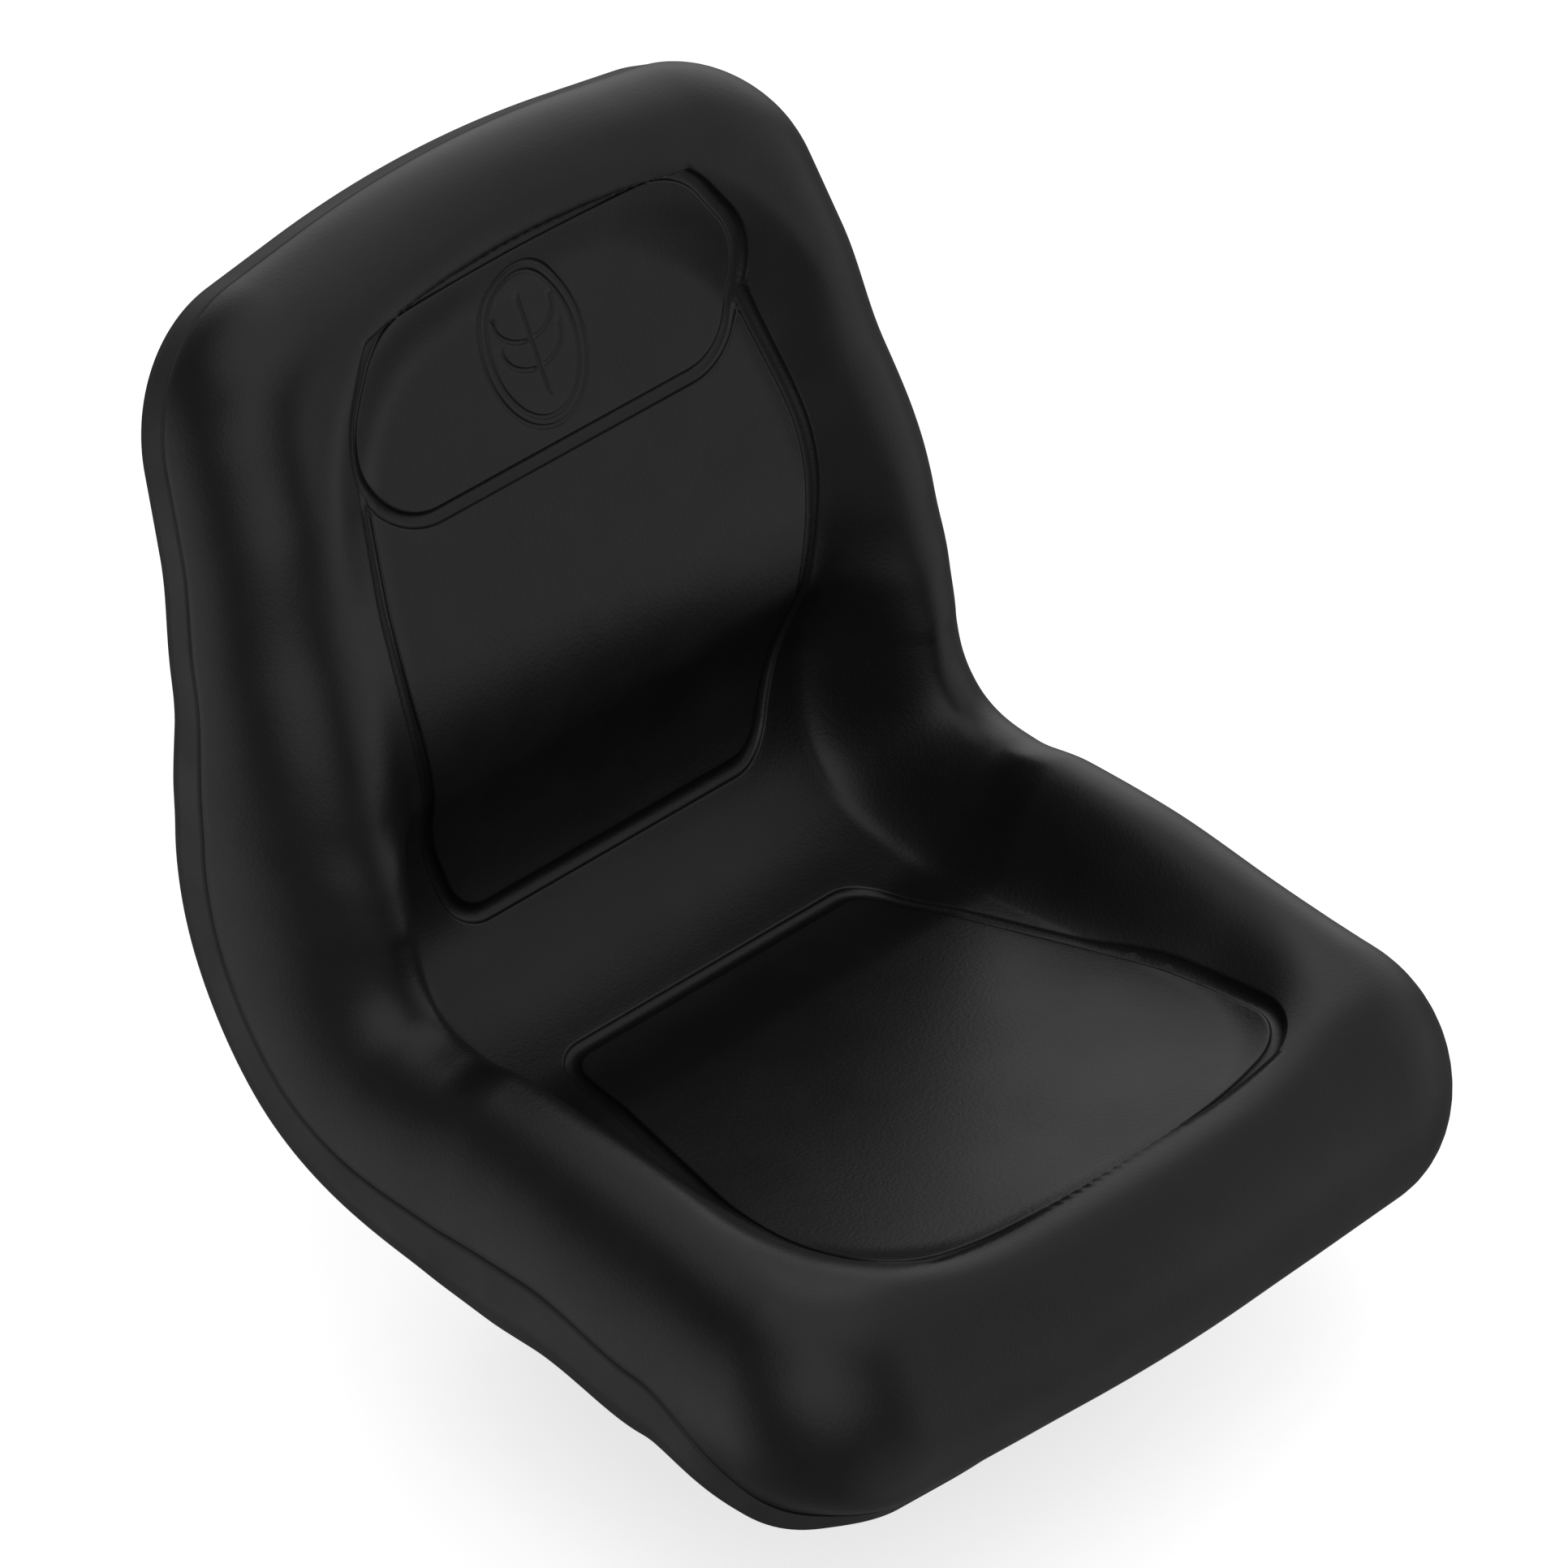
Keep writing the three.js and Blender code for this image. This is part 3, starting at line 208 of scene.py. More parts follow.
def smoothstep(value, low, high):
    t = np.clip((value - low) / (high - low), 0, 1)
    return t * t * (3 - 2 * t)


def distance_to(line, places, closed):
    """Distance from each place to a line of points."""
    start = line if closed else line[:-1]
    step = (np.roll(line, -1, axis=0) - line) if closed else np.diff(line, axis=0)
    square = np.maximum((step**2).sum(1), 1e-12)
    nearest = np.empty(len(places))
    for first in range(0, len(places), 3000):
        away = places[first : first + 3000, None] - start
        t = np.clip((away * step).sum(2) / square, 0, 1)
        nearest[first : first + 3000] = np.sqrt(((away - t[..., None] * step) ** 2).sum(2).min(1))
    return nearest


def is_inside(line, places):
    """True for places within a closed line, by counting how often a ray going out in +x crosses it."""
    start, end = line, np.roll(line, -1, axis=0)
    s = places[:, None, 1]
    crosses = (start[:, 1] > s) != (end[:, 1] > s)
    rise = np.where(start[:, 1] == end[:, 1], 1, end[:, 1] - start[:, 1])
    x = start[:, 0] + (s - start[:, 1]) / rise * (end[:, 0] - start[:, 0])
    return (crosses & (x > places[:, None, 0])).sum(1) % 2 == 1


# ---- the sheet and the outline --------------------------------------------------------------------------
SPINE = Ruler(rounded_line(SHEET_CORNERS, False, 1.5))
centre_height = height_line(CENTRE_HEIGHT)
bolster_rise = height_line(BOLSTER_RISE)
widest_height = height_line(WIDEST_HEIGHT)
pan_lip = height_line(PAN_LIP)
pan_depth = height_line(PAN_DEPTH)
OUTLINE_LINE = rounded_line(mirrored(OUTLINE_CORNERS), True, 5)
MIDDLE_LINE = rounded_line(mirrored(MIDDLE_CORNERS), True, 4)


def on_sheet(places, height):
    """Points in the sheet's own frame, before it is set over the CAD part."""
    spine = SPINE.at(places[:, 1])
    along = SPINE.along(places[:, 1], NORMAL_REACH)
    return np.c_[places[:, 0], spine[:, 0] - along[:, 1] * height, spine[:, 1] + along[:, 0] * height]


def outline_columns(count):
    """Evenly spaced places on the outline with their inward directions, from the middle of the front edge."""
    line = rounded_line(mirrored(OUTLINE_CORNERS), True, 1.5)
    first = np.argmin(np.abs(line[:, 0]) + 10 * (line[:, 1] > 100) * 1000)
    ring = np.roll(line, -first, axis=0)
    ring = np.vstack([ring, ring[:1]])
    ruler = Ruler(ring)
    length = np.arange(count) / count * ruler.total
    back = ruler.at((length - 4) % ruler.total)
    ahead = ruler.at((length + 4) % ruler.total)
    along = (ahead - back) / np.linalg.norm(ahead - back, axis=1, keepdims=True)
    return ruler.at(length), np.c_[-along[:, 1], along[:, 0]]


EDGE, INWARD = outline_columns(COLUMNS)


def cushion_height(places):
    outside = np.where(is_inside(MIDDLE_LINE, places), 0, distance_to(MIDDLE_LINE, places, True))
    rise = smoothstep(outside, 0, BOLSTER_SLOPE)
    return centre_height(places[:, 1]) + bolster_rise(places[:, 1]) * rise


def roll_place(turn):
    """Places and heights on the rounded edge: turn 0 is the top of the roll, turn 1 the parting line."""
    end = math.pi / 2 + FRONT_TUCK * (1 - smoothstep(EDGE[:, 1], TUCK_FROM, TUCK_TO))
    inset = ROLL * (1 - np.sin(end * turn))
    places = EDGE + INWARD * inset[:, None]
    widest = widest_height(places[:, 1])
    return places, widest + (cushion_height(places) - widest) * np.cos(end * turn), inset


# ---- channels pressed into the skin ---------------------------------------------------------------------
class Channel:
    """A channel of even width along a line of places."""

    def __init__(self, line, closed, half_width, depth):
        self.line = line
        self.closed = closed
        self.half_width = half_width
        self.depth = depth

    def distance(self, places):
        return distance_to(self.line, places, self.closed)

    def sink(self, distance):
        """How far the skin sinks at a distance from the channel's middle: steep walls and a rounded floor."""
        u = np.clip(distance / self.half_width, 0, 1)
        shoulder = np.clip(distance / self.half_width, 0, 1.5)
        return self.depth * (0.93 * (1 - u**3) ** 0.7 + 0.07 * (1 - smoothstep(shoulder, 0.6, 1.5)))

    def rows(self, offsets, step):
        """Places along both flanks, at the given offsets from the middle."""
        line = np.vstack([self.line, self.line[:1]]) if self.closed else self.line
        ruler = Ruler(line)
        count = int(ruler.total / step)
        length = np.arange(count + (not self.closed)) / count * ruler.total
        middle = ruler.at(length)
        along = ruler.along(np.clip(length, 1.5, ruler.total - 1.5), 1.5)
        side = np.c_[-along[:, 1], along[:, 0]]
        return np.vstack([middle + side * offset for offset in offsets])


def mark_lines():
    """A plain badge: two oval rings round a sprig with four leaves."""
    x, s = MARK_CENTRE
    angle = np.linspace(0, 2 * math.pi, 140, endpoint=False)
    rings = [np.c_[x + wide * np.cos(angle), s + tall * np.sin(angle)] for wide, tall in MARK_RINGS]
    t = np.linspace(0, 1, 30)
    strokes = [np.c_[x + 0 * t, s - 26 + 50 * t]]
    for side, foot in ((-1, -12), (1, -12), (-1, 3), (1, 3)):
        out = side * 17 * np.sin(t * math.pi / 2)
        strokes.append(np.c_[x + side * 3 + out, s + foot + 15 * t**1.6])
    return rings, strokes


def make_channels():
    deep = (CHANNEL_HALF_WIDTH, CHANNEL_DEPTH)
    fine = (MARK_HALF_WIDTH, MARK_DEPTH)
    panels = [
        Channel(rounded_line(mirrored(SEAT_PANEL), True, 2), True, *deep),
        Channel(rounded_line(mirrored(BACK_PANEL, False), False, 2), False, *deep),
        Channel(rounded_line(mirrored(HEAD_PANEL), True, 2), True, *deep),
    ]
    rings, strokes = mark_lines()
    marks = [Channel(ring, True, *fine) for ring in rings]
    marks += [Channel(stroke, False, *fine) for stroke in strokes]
    return panels, marks


PANELS, MARKS = make_channels()


# ---- meshes ---------------------------------------------------------------------------------------------
def hexagonal_grid(spacing):
    """Places over the whole outline, in rows that are staggered like a honeycomb."""
    low, high = OUTLINE_LINE.min(0), OUTLINE_LINE.max(0)
    rows = np.arange(low[1], high[1], spacing * math.sqrt(0.75))
    columns = np.arange(-math.ceil(high[0] / spacing), math.ceil(high[0] / spacing) + 1) * spacing
    places = [np.c_[columns + (k % 2) * spacing / 2, np.full(len(columns), s)] for k, s in enumerate(rows)]
    return np.vstack(places)


def patch(ring, inside, holes=()):
    """Places and triangles within a ring and outside the holes. The ring's places come first."""
    places = np.vstack([ring, *holes, inside])
    loop_of = np.concatenate([np.full(len(loop), k) for k, loop in enumerate((ring, *holes))])
    loop_of = np.r_[loop_of, np.full(len(inside), -1)]
    edges = []
    for k in range(1 + len(holes)):
        loop = np.flatnonzero(loop_of == k)
        edges += np.c_[np.roll(loop, 1), loop].tolist()
    made = delaunay_2d_cdt([Vector(p) for p in places], edges, [], 1, 1e-6)
    given = np.array([numbers[0] for numbers in made[3]])
    if len(given) != len(places):
        raise ValueError("two places of a patch fell together")
    triangles = given[np.array(made[2])]
    of_hole = loop_of[triangles]
    in_hole = (of_hole[:, 0] > 0) & (of_hole[:, 0] == of_hole[:, 1]) & (of_hole[:, 1] == of_hole[:, 2])
    triangles = triangles[~in_hole]
    corners = places[triangles]
    one, two = corners[:, 1] - corners[:, 0], corners[:, 2] - corners[:, 0]
    clockwise = one[:, 0] * two[:, 1] - one[:, 1] * two[:, 0] < 0
    triangles[clockwise] = triangles[clockwise][:, ::-1]
    return places, triangles


def strip(first_row, second_row):
    """Quads between two rows of point numbers that close on themselves."""
    return np.stack([first_row, second_row, np.roll(second_row, -1), np.roll(first_row, -1)], 1).tolist()


def surface(rows, inside, holes=()):
    """Points, faces and row numbers over rings of (places, heights), innermost first, and their inside."""
    places, triangles = patch(rows[0][0], inside[0], [hole[0] for hole in holes])
    heights = np.concatenate([rows[0][1], *[hole[1] for hole in holes], inside[1]])
    points = np.vstack([on_sheet(places, heights), *[on_sheet(*row) for row in rows[1:]]])
    numbers = [np.arange(COLUMNS)]
    numbers += [len(places) + k * COLUMNS + np.arange(COLUMNS) for k in range(len(rows) - 1)]
    faces = triangles.tolist()
    for inner, outer in zip(numbers, numbers[1:]):
        faces += strip(inner, outer)
    return points, faces, numbers


def vertex_normals(points, faces):
    normals = np.zeros_like(points)
    for size in (3, 4):
        some = np.array([face for face in faces if len(face) == size], int).reshape(-1, size)
        across = np.cross(points[some[:, 2]] - points[some[:, 0]], points[some[:, -1]] - points[some[:, 1]])
        for k in range(size):
            np.add.at(normals, some[:, k], across)
    return normals / np.linalg.norm(normals, axis=1, keepdims=True)


def flipped(faces, shift=0):
    return [[k + shift for k in reversed(face)] for face in faces]


def thicken(points, faces, thickness):
    """A closed shell: the faces, a lining behind them, and walls along every open edge."""
    count = len(points)
    lining = points - vertex_normals(points, faces) * thickness
    open_edges = {}
    for face in faces:
        for a, b in zip(face, face[1:] + face[:1]):
            if open_edges.pop((b, a), None) is None:
                open_edges[(a, b)] = True
    walls = [[b, a, a + count, b + count] for a, b in open_edges]
    return np.vstack([points, lining]), faces + flipped(faces, count) + walls


def make_object(name, points, faces, material, slot):
    """A piece of the seat from points in the sheet's frame, set over the CAD part, in metres."""
    mesh = bpy.data.meshes.new(name)
    mesh.from_pydata(((points + SHEET_SHIFT) * MM).tolist(), [], faces)
    mesh.shade_smooth()
    mesh.materials.append(material)
    piece = bpy.data.objects.new(name, mesh)
    bpy.context.scene.collection.objects.link(piece)
    return piece


def sheet_shift():
    """What sets the sheet over the CAD part: their middles and front edges meet."""
    low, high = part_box("seat_cover")
    fine = np.vstack([on_sheet(*roll_place(turn)[:2]) for turn in np.linspace(0, 1, 21)])
    return np.array([(low.x + high.x) / 2 / MM, low.y / MM - fine[:, 1].min(), 0.0])


SHEET_SHIFT = sheet_shift()


# ---- the cushion ----------------------------------------------------------------------------------------
def field_places(inset, spacing, channels=(), margin=0.0):
    """Grid places further than `inset` inside the outline, and clear of the channels' own rows of places."""
    places = hexagonal_grid(spacing)
    places = places[is_inside(OUTLINE_LINE, places)]
    places = places[distance_to(OUTLINE_LINE, places, True) > inset + spacing * 0.55]
    for channel in channels:
        reach = channel.half_width * EDGE_OFFSETS[-1] + margin
        places = places[channel.distance(places) > reach]
    return places


def channel_places(channels, step):
    """Rows along the channels, without the places that fall in another channel."""
    offsets = sorted({sign * share for share in EDGE_OFFSETS for sign in (-1, 1)})
    kept = []
    for channel in channels:
        places = channel.rows([offset * channel.half_width for offset in offsets], step)
        for other in channels[: channels.index(channel)]:
            places = places[other.distance(places) > other.half_width * EDGE_OFFSETS[-1] + 0.4]
        kept.append(places)
    return np.vstack(kept)


def skin_surface():
    """The outer face of the skin, with the channels pressed in."""
    field = field_places(ROLL, FIELD_SPACING, PANELS + MARKS, 1.2)
    seat, back, head = PANELS
    panel_places = channel_places([head, seat, back], 2.4)
    inside = np.vstack([field, panel_places, channel_places(MARKS, 1.6)])
    sink = np.max([channel.sink(channel.distance(inside)) for channel in PANELS + MARKS], axis=0)
    rows = [roll_place(turn)[:2] for turn in np.linspace(0, 1, 25)]
    points, faces, numbers = surface(rows, (inside, cushion_height(inside) - sink))
    # How deep each place is pressed in, used to paint shade and dust into the channels.
    channel_shade_and_dust = np.zeros(len(points))
    channel_shade_and_dust[COLUMNS : COLUMNS + len(inside)] = sink / CHANNEL_DEPTH
    return points, faces, numbers, channel_shade_and_dust


def plain_cushion(turns, spacing, depth):
    """The cushion's face at a depth below the skin's, without channels."""
    inside = field_places(ROLL, spacing)
    points, faces, numbers = surface([roll_place(t)[:2] for t in turns], (inside, cushion_height(inside)))
    return points - vertex_normals(points, faces) * depth, faces, numbers


def make_skin():
    """The moulded vinyl skin: outer face, rolled hem and lining."""
    outer, faces, outer_rows, channel_shade_and_dust = skin_surface()
    lining, lining_faces, lining_rows = plain_cushion(np.linspace(0, 1, 9), LINING_SPACING, SKIN_THICKNESS)
    rim, inner_rim = outer[outer_rows[-1]], lining[lining_rows[-1]]
    run = rim - outer[outer_rows[-2]]
    run /= np.linalg.norm(run, axis=1, keepdims=True)
    middle = (rim + inner_rim) / 2
    hem = [middle + (rim - middle) * math.cos(a) + run * HEM * math.sin(a) for a in np.radians([40, 90, 140])]
    numbers = [outer_rows[-1]]
    numbers += [len(outer) + k * COLUMNS + np.arange(COLUMNS) for k in range(len(hem))]
    shift = len(outer) + len(hem) * COLUMNS
    numbers.append(lining_rows[-1] + shift)
    for row, next_row in zip(numbers, numbers[1:]):
        faces += strip(row, next_row)
    points = np.vstack([outer, *hem, lining])
    piece = make_object("cushion_skin", points, faces + flipped(lining_faces, shift), vinyl(), "vinyl")
    attribute = piece.data.attributes.new("channel_shade_and_dust", "FLOAT", "POINT")
    attribute.data.foreach_set("value", np.r_[channel_shade_and_dust, np.zeros(len(points) - len(channel_shade_and_dust))].astype(np.float32))
    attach(piece, "seat")
    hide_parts("seat_cover")
    return piece


# ---- the pan --------------------------------------------------------------------------------------------
def pan_height(s):
    """Height of the pan's underside: level under the seat, then at an even depth up the back."""
    slope = np.maximum(FLOOR_STEEPEST, SPINE.along(s, NORMAL_REACH)[:, 0])
    level = (PAN_FLOOR_Z - SPINE.at(s)[:, 1]) / slope
    return np.maximum(level, pan_depth(s))


def pan_rows(round_rows):
    """Rings of the pan from the flat field out to its rim."""
    edge, height, inset = roll_place(1)
    bottom = height - SEAM - pan_lip(edge[:, 1])
    rows = []
    for angle in np.linspace(math.pi / 2, 0, round_rows + 1):
        reach = PAN_LIP_REACH + (PAN_ROUND - inset - PAN_LIP_REACH) * math.sin(angle)
        places = edge + INWARD * reach[:, None]
        base = pan_height(places[:, 1])
        rows.append((places, base + (bottom - base) * math.cos(angle)))
    for share in (0.3, 0.6, 0.85):
        places = edge + INWARD * (PAN_LIP_REACH + (RIM_GAP - PAN_LIP_REACH) * share)
        rows.append((places, bottom + (height - SEAM - bottom) * share))
    rows.append((edge + INWARD * RIM_GAP, height - SEAM))
    return rows


def floor_ring(node, radius):
    """Places and heights of a round hole in the pan's floor, centred on a CAD node."""
    low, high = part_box(node)
    centre = (np.array(low) + np.array(high))[:2] / 2 / MM - SHEET_SHIFT[:2]
    angle = np.arange(28) / 28 * 2 * math.pi
    s = np.arange(0, 420, 1.0)
    y = on_sheet(np.c_[s * 0, s], pan_height(s))[:, 1]
    places = np.c_[centre[0] + radius * np.cos(angle), np.interp(centre[1] + radius * np.sin(angle), y, s)]
    return places, pan_height(places[:, 1])


def pan_holes():
    ends = [f"pan_insert_{side}_{end}" for side in ("left", "right") for end in ("front", "rear")]
    holes = [floor_ring(node, INSERT_HOLE) for node in ends]
    holes.append(floor_ring("switch_housing", SWITCH_HOLE))
    holes.append(floor_ring("drain_grommet", DRAIN_HOLE))
    return holes


def make_pan():
    """The dark shell under and behind the cushion, with its holes and the stiffening beads on its back."""
    beads = [Channel(np.array(line, float), False, BEAD_HALF_WIDTH, BEAD_HEIGHT) for line in BEADS]
    holes = pan_holes()
    field = field_places(PAN_ROUND, PAN_SPACING)
    for places, _ in holes:
        field = field[distance_to(places, field, True) > 2.5]
        centre = places.mean(0)
        field = field[np.linalg.norm(field - centre, axis=1) > np.linalg.norm(places - centre, axis=1).max()]
    near = np.min([bead.distance(field) for bead in beads], axis=0)
    offsets = np.array([-1.25, -1, -0.7, -0.35, 0, 0.35, 0.7, 1, 1.25]) * BEAD_HALF_WIDTH
    field = np.vstack([field[near > BEAD_HALF_WIDTH * 1.25 + 2], *[bead.rows(offsets, 5) for bead in beads]])
    near = np.min([bead.distance(field) for bead in beads], axis=0)
    raised = BEAD_HEIGHT * (1 - smoothstep(near / BEAD_HALF_WIDTH, 0.25, 1.15))
    points, faces, _ = surface(pan_rows(14), (field, pan_height(field[:, 1]) - raised), holes)
    closed = thicken(points, flipped(faces), PAN_THICKNESS)
    piece = make_object("pan_shell", *closed, pan_plastic(), "pan_plastic")
    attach(piece, "seat")
    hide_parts("seat_pan")
    return piece


def make_foam():
    """The foam block between the skin's lining and the pan."""
    top, top_faces, top_rows = plain_cushion(np.linspace(0, 0.86, 7), LINING_SPACING, FOAM_INSET)
    field = field_places(PAN_ROUND, LINING_SPACING)
    under, under_faces, under_rows = surface(pan_rows(6)[:-6], (field, pan_height(field[:, 1])))
    under += vertex_normals(under, under_faces) * (PAN_THICKNESS + PAN_LINING_GAP)
    shift = len(top)
    faces = top_faces + flipped(under_faces, shift) + strip(top_rows[-1], under_rows[-1] + shift)
    piece = make_object("foam_core", np.vstack([top, under]), faces, foam(), "foam")
    carve(piece, foam_pockets())
    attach(piece, "seat")
    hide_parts("foam_cushion")
    return piece


def foam_pockets():
    """Solids that clear the inserts, the switch and the drain out of the foam."""
    nodes = [f"pan_insert_{side}_{end}" for side in ("left", "right") for end in ("front", "rear")]
    pockets = []
    for name in [*nodes, "switch_housing", "switch_plunger", "drain_grommet"]:
        low, high = (np.array(corner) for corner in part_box(name))
        pockets.append((low - [0.001, 0.001, 0.01], high + 0.001))
    return pockets


def carve(piece, boxes):
    """Cuts upright boxes with low and high corners out of a piece."""
    for low, high in boxes:
        mesh = bpy.data.meshes.new("cutter")
        corners = [(x, y, z) for z in (low[2], high[2]) for y in (low[1], high[1]) for x in (low[0], high[0])]
        sides = [(0, 2, 3, 1), (4, 5, 7, 6), (0, 1, 5, 4), (2, 6, 7, 3), (0, 4, 6, 2), (1, 3, 7, 5)]
        mesh.from_pydata(corners, [], sides)
        cutter = bpy.data.objects.new("cutter", mesh)
        bpy.context.scene.collection.objects.link(cutter)
        cut = piece.modifiers.new("cut", "BOOLEAN")
        cut.operation = "DIFFERENCE"
        cut.object = cutter
        carved = bpy.data.meshes.new_from_object(piece.evaluated_get(bpy.context.evaluated_depsgraph_get()))
        piece.modifiers.clear()
        piece.data = carved
        bpy.data.objects.remove(cutter)


# ---- materials ------------------------------------------------------------------------------------------
class Finish:
    """A material being built: its nodes, and short ways to add the usual ones."""

    def __init__(self, name, roughness, metallic=0.0, specular=0.5):
        self.material = bpy.data.materials.new(name)
        self.material.use_nodes = True
        self.nodes = self.material.node_tree.nodes
        self.links = self.material.node_tree.links
        self.shader = self.nodes["Principled BSDF"]
        self.shader.inputs["Roughness"].default_value = roughness
        self.shader.inputs["Metallic"].default_value = metallic
        self.shader.inputs["Specular IOR Level"].default_value = specular
        self.place = self.nodes.new("ShaderNodeTexCoord").outputs["Object"]

    def stretched(self, scale):
        mapping = self.nodes.new("ShaderNodeMapping")
        mapping.inputs["Scale"].default_value = scale
        self.links.new(self.place, mapping.inputs["Vector"])
        return mapping.outputs["Vector"]

    def noise(self, scale, detail=4.0, place=None):
        node = self.nodes.new("ShaderNodeTexNoise")
        node.inputs["Scale"].default_value = scale
        node.inputs["Detail"].default_value = detail
        self.links.new(place or self.place, node.inputs["Vector"])
        return node.outputs["Fac"]

    def cells(self, scale, feature="F1", place=None):
        node = self.nodes.new("ShaderNodeTexVoronoi")
        node.feature = feature
        node.inputs["Scale"].default_value = scale
        self.links.new(place or self.place, node.inputs["Vector"])
        return node.outputs["Distance"]

    def attribute(self, name):
        node = self.nodes.new("ShaderNodeAttribute")
        node.attribute_name = name
        return node.outputs["Fac"]

    def math(self, operation, first, second):
        node = self.nodes.new("ShaderNodeMath")
        node.operation = operation
        for socket, value in zip(node.inputs, (first, second)):
            if isinstance(value, (int, float)):
                socket.default_value = value
            else:
                self.links.new(value, socket)
        return node.outputs["Value"]

    def range(self, value, low, high, to_low, to_high):
        node = self.nodes.new("ShaderNodeMapRange")
        self.links.new(value, node.inputs["Value"])
        for name, number in zip(("From Min", "From Max", "To Min", "To Max"), (low, high, to_low, to_high)):
            node.inputs[name].default_value = number
        return node.outputs["Result"]

    def ramp(self, value, stops):
        node = self.nodes.new("ShaderNodeValToRGB")
        self.links.new(value, node.inputs["Fac"])
        stop_list = node.color_ramp.elements
        while len(stop_list) < len(stops):
            stop_list.new(0.5)
        for element, (at, colour) in zip(stop_list, stops):
            element.position = at
            element.color = (*colour, 1)
        return node.outputs["Color"]

    def mix(self, share, first, second):
        node = self.nodes.new("ShaderNodeMix")
        node.data_type = "RGBA"
        self.links.new(share, node.inputs["Factor"])
        for socket, value in ((node.inputs[6], first), (node.inputs[7], second)):
            if isinstance(value, tuple):
                socket.default_value = (*value, 1)
            else:
                self.links.new(value, socket)
        return node.outputs[2]

    def bump(self, height, distance, strength=1.0, over=None):
        node = self.nodes.new("ShaderNodeBump")
        node.inputs["Strength"].default_value = strength
        node.inputs["Distance"].default_value = distance
        self.links.new(height, node.inputs["Height"])
        if over is not None:
            self.links.new(over, node.inputs["Normal"])
        return node.outputs["Normal"]

    def finish(self, colour=None, roughness=None, normal=None):
        for name, value in (("Base Color", colour), ("Roughness", roughness), ("Normal", normal)):
            if value is not None:
                self.links.new(value, self.shader.inputs[name])
        return self.material


def vinyl():
    """Black moulded vinyl: fine pebbled grain, faint mottling, and channels darkened by painted shade and
    dust.
    """
    f = Finish("vinyl", 0.4)
    pebbles = f.cells(560, "SMOOTH_F1")
    creases = f.noise(900, 3)
    grain = f.math("ADD", f.range(pebbles, 0.0, 0.7, 0.0, 1.0), f.math("MULTIPLY", creases, 0.5))
    patches = f.noise(16, 5)
    grain = f.math("MULTIPLY", grain, f.range(patches, 0.35, 0.65, 0.55, 1.0))
    mottle = f.noise(42, 6)
    colour = f.ramp(mottle, [(0.3, (0.0030, 0.0031, 0.0034)), (0.75, (0.0052, 0.0053, 0.0057))])
    # Painted shade with dust: the colour goes darker in the channels, the deeper they are pressed.
    colour = f.mix(f.attribute("channel_shade_and_dust"), colour, (0.002, 0.002, 0.0022))
    roughness = f.range(patches, 0.3, 0.7, 0.33, 0.40)
    return f.finish(colour, roughness, f.bump(grain, 0.00012, 0.55))


def pan_plastic():
    """Black polypropylene with a fine eroded texture."""
    f = Finish("pan_plastic", 0.5)
    texture = f.noise(1400, 4)
    colour = f.ramp(f.noise(30, 6), [(0.3, (0.009, 0.009, 0.0095)), (0.8, (0.016, 0.016, 0.017))])
    roughness = f.range(f.noise(22, 4), 0.3, 0.7, 0.48, 0.6)
    return f.finish(colour, roughness, f.bump(texture, 0.0001, 0.5))


def foam():
    """Cream open-celled foam."""
    f = Finish("foam", 0.95, specular=0.2)
    pores = f.cells(700)
    colour = f.ramp(pores, [(0.1, (0.33, 0.27, 0.14)), (0.5, (0.68, 0.62, 0.42))])
    return f.finish(colour, None, f.bump(pores, 0.0004, 0.8))


def black_steel():
    """Black powder coat with a slight orange peel, rubbed thin here and there."""
    f = Finish("black_steel", 0.4, specular=0.55)
    peel = f.noise(420, 2)
    scuffs = f.noise(60, 8, f.stretched((1.0, 0.35, 1.0)))
    colour = f.ramp(scuffs, [(0.35, (0.010, 0.010, 0.011)), (0.72, (0.022, 0.022, 0.023))])
    roughness = f.range(scuffs, 0.35, 0.7, 0.34, 0.52)
    return f.finish(colour, roughness, f.bump(peel, 0.0002, 0.4))


def zinc_steel():
    """Bright zinc plate with faint blue and straw tints and rolling marks."""
    f = Finish("zinc_steel", 0.32, metallic=1.0)
    tint = f.noise(35, 3)
    colour = f.ramp(tint, [(0.3, (0.56, 0.60, 0.66)), (0.55, (0.68, 0.69, 0.68)), (0.8, (0.70, 0.65, 0.52))])
    lines = f.noise(260, 5, f.stretched((1.0, 0.04, 1.0)))
    roughness = f.range(f.noise(90, 6), 0.3, 0.7, 0.26, 0.45)
    return f.finish(colour, roughness, f.bump(lines, 0.0001, 0.35))


def spring_steel():
    """Oil-hardened wire: dark, slightly uneven, with a thin sheen."""
    f = Finish("spring_steel", 0.38, metallic=1.0)
    colour = f.ramp(f.noise(120, 5), [(0.3, (0.07, 0.065, 0.06)), (0.7, (0.16, 0.16, 0.165))])
    roughness = f.range(f.noise(200, 4), 0.3, 0.7, 0.3, 0.5)
    return f.finish(colour, roughness, f.bump(f.noise(800, 3), 0.0001, 0.3))


def nylon():
    """Natural nylon, cream with a faint mottle."""
    f = Finish("nylon", 0.42)
    colour = f.ramp(f.noise(80, 4), [(0.3, (0.58, 0.54, 0.44)), (0.7, (0.72, 0.69, 0.60))])
    roughness = f.range(f.noise(160, 3), 0.3, 0.7, 0.38, 0.5)
    return f.finish(colour, roughness, f.bump(f.noise(500, 3), 0.0001, 0.3))


def rubber():
    """Matt black rubber with a dusty bloom."""
    f = Finish("rubber", 0.8, specular=0.35)
    colour = f.ramp(f.noise(70, 7), [(0.35, (0.010, 0.010, 0.010)), (0.75, (0.028, 0.027, 0.026))])
    roughness = f.range(f.noise(150, 5), 0.3, 0.7, 0.7, 0.9)
    return f.finish(colour, roughness, f.bump(f.noise(900, 4), 0.00015, 0.5))


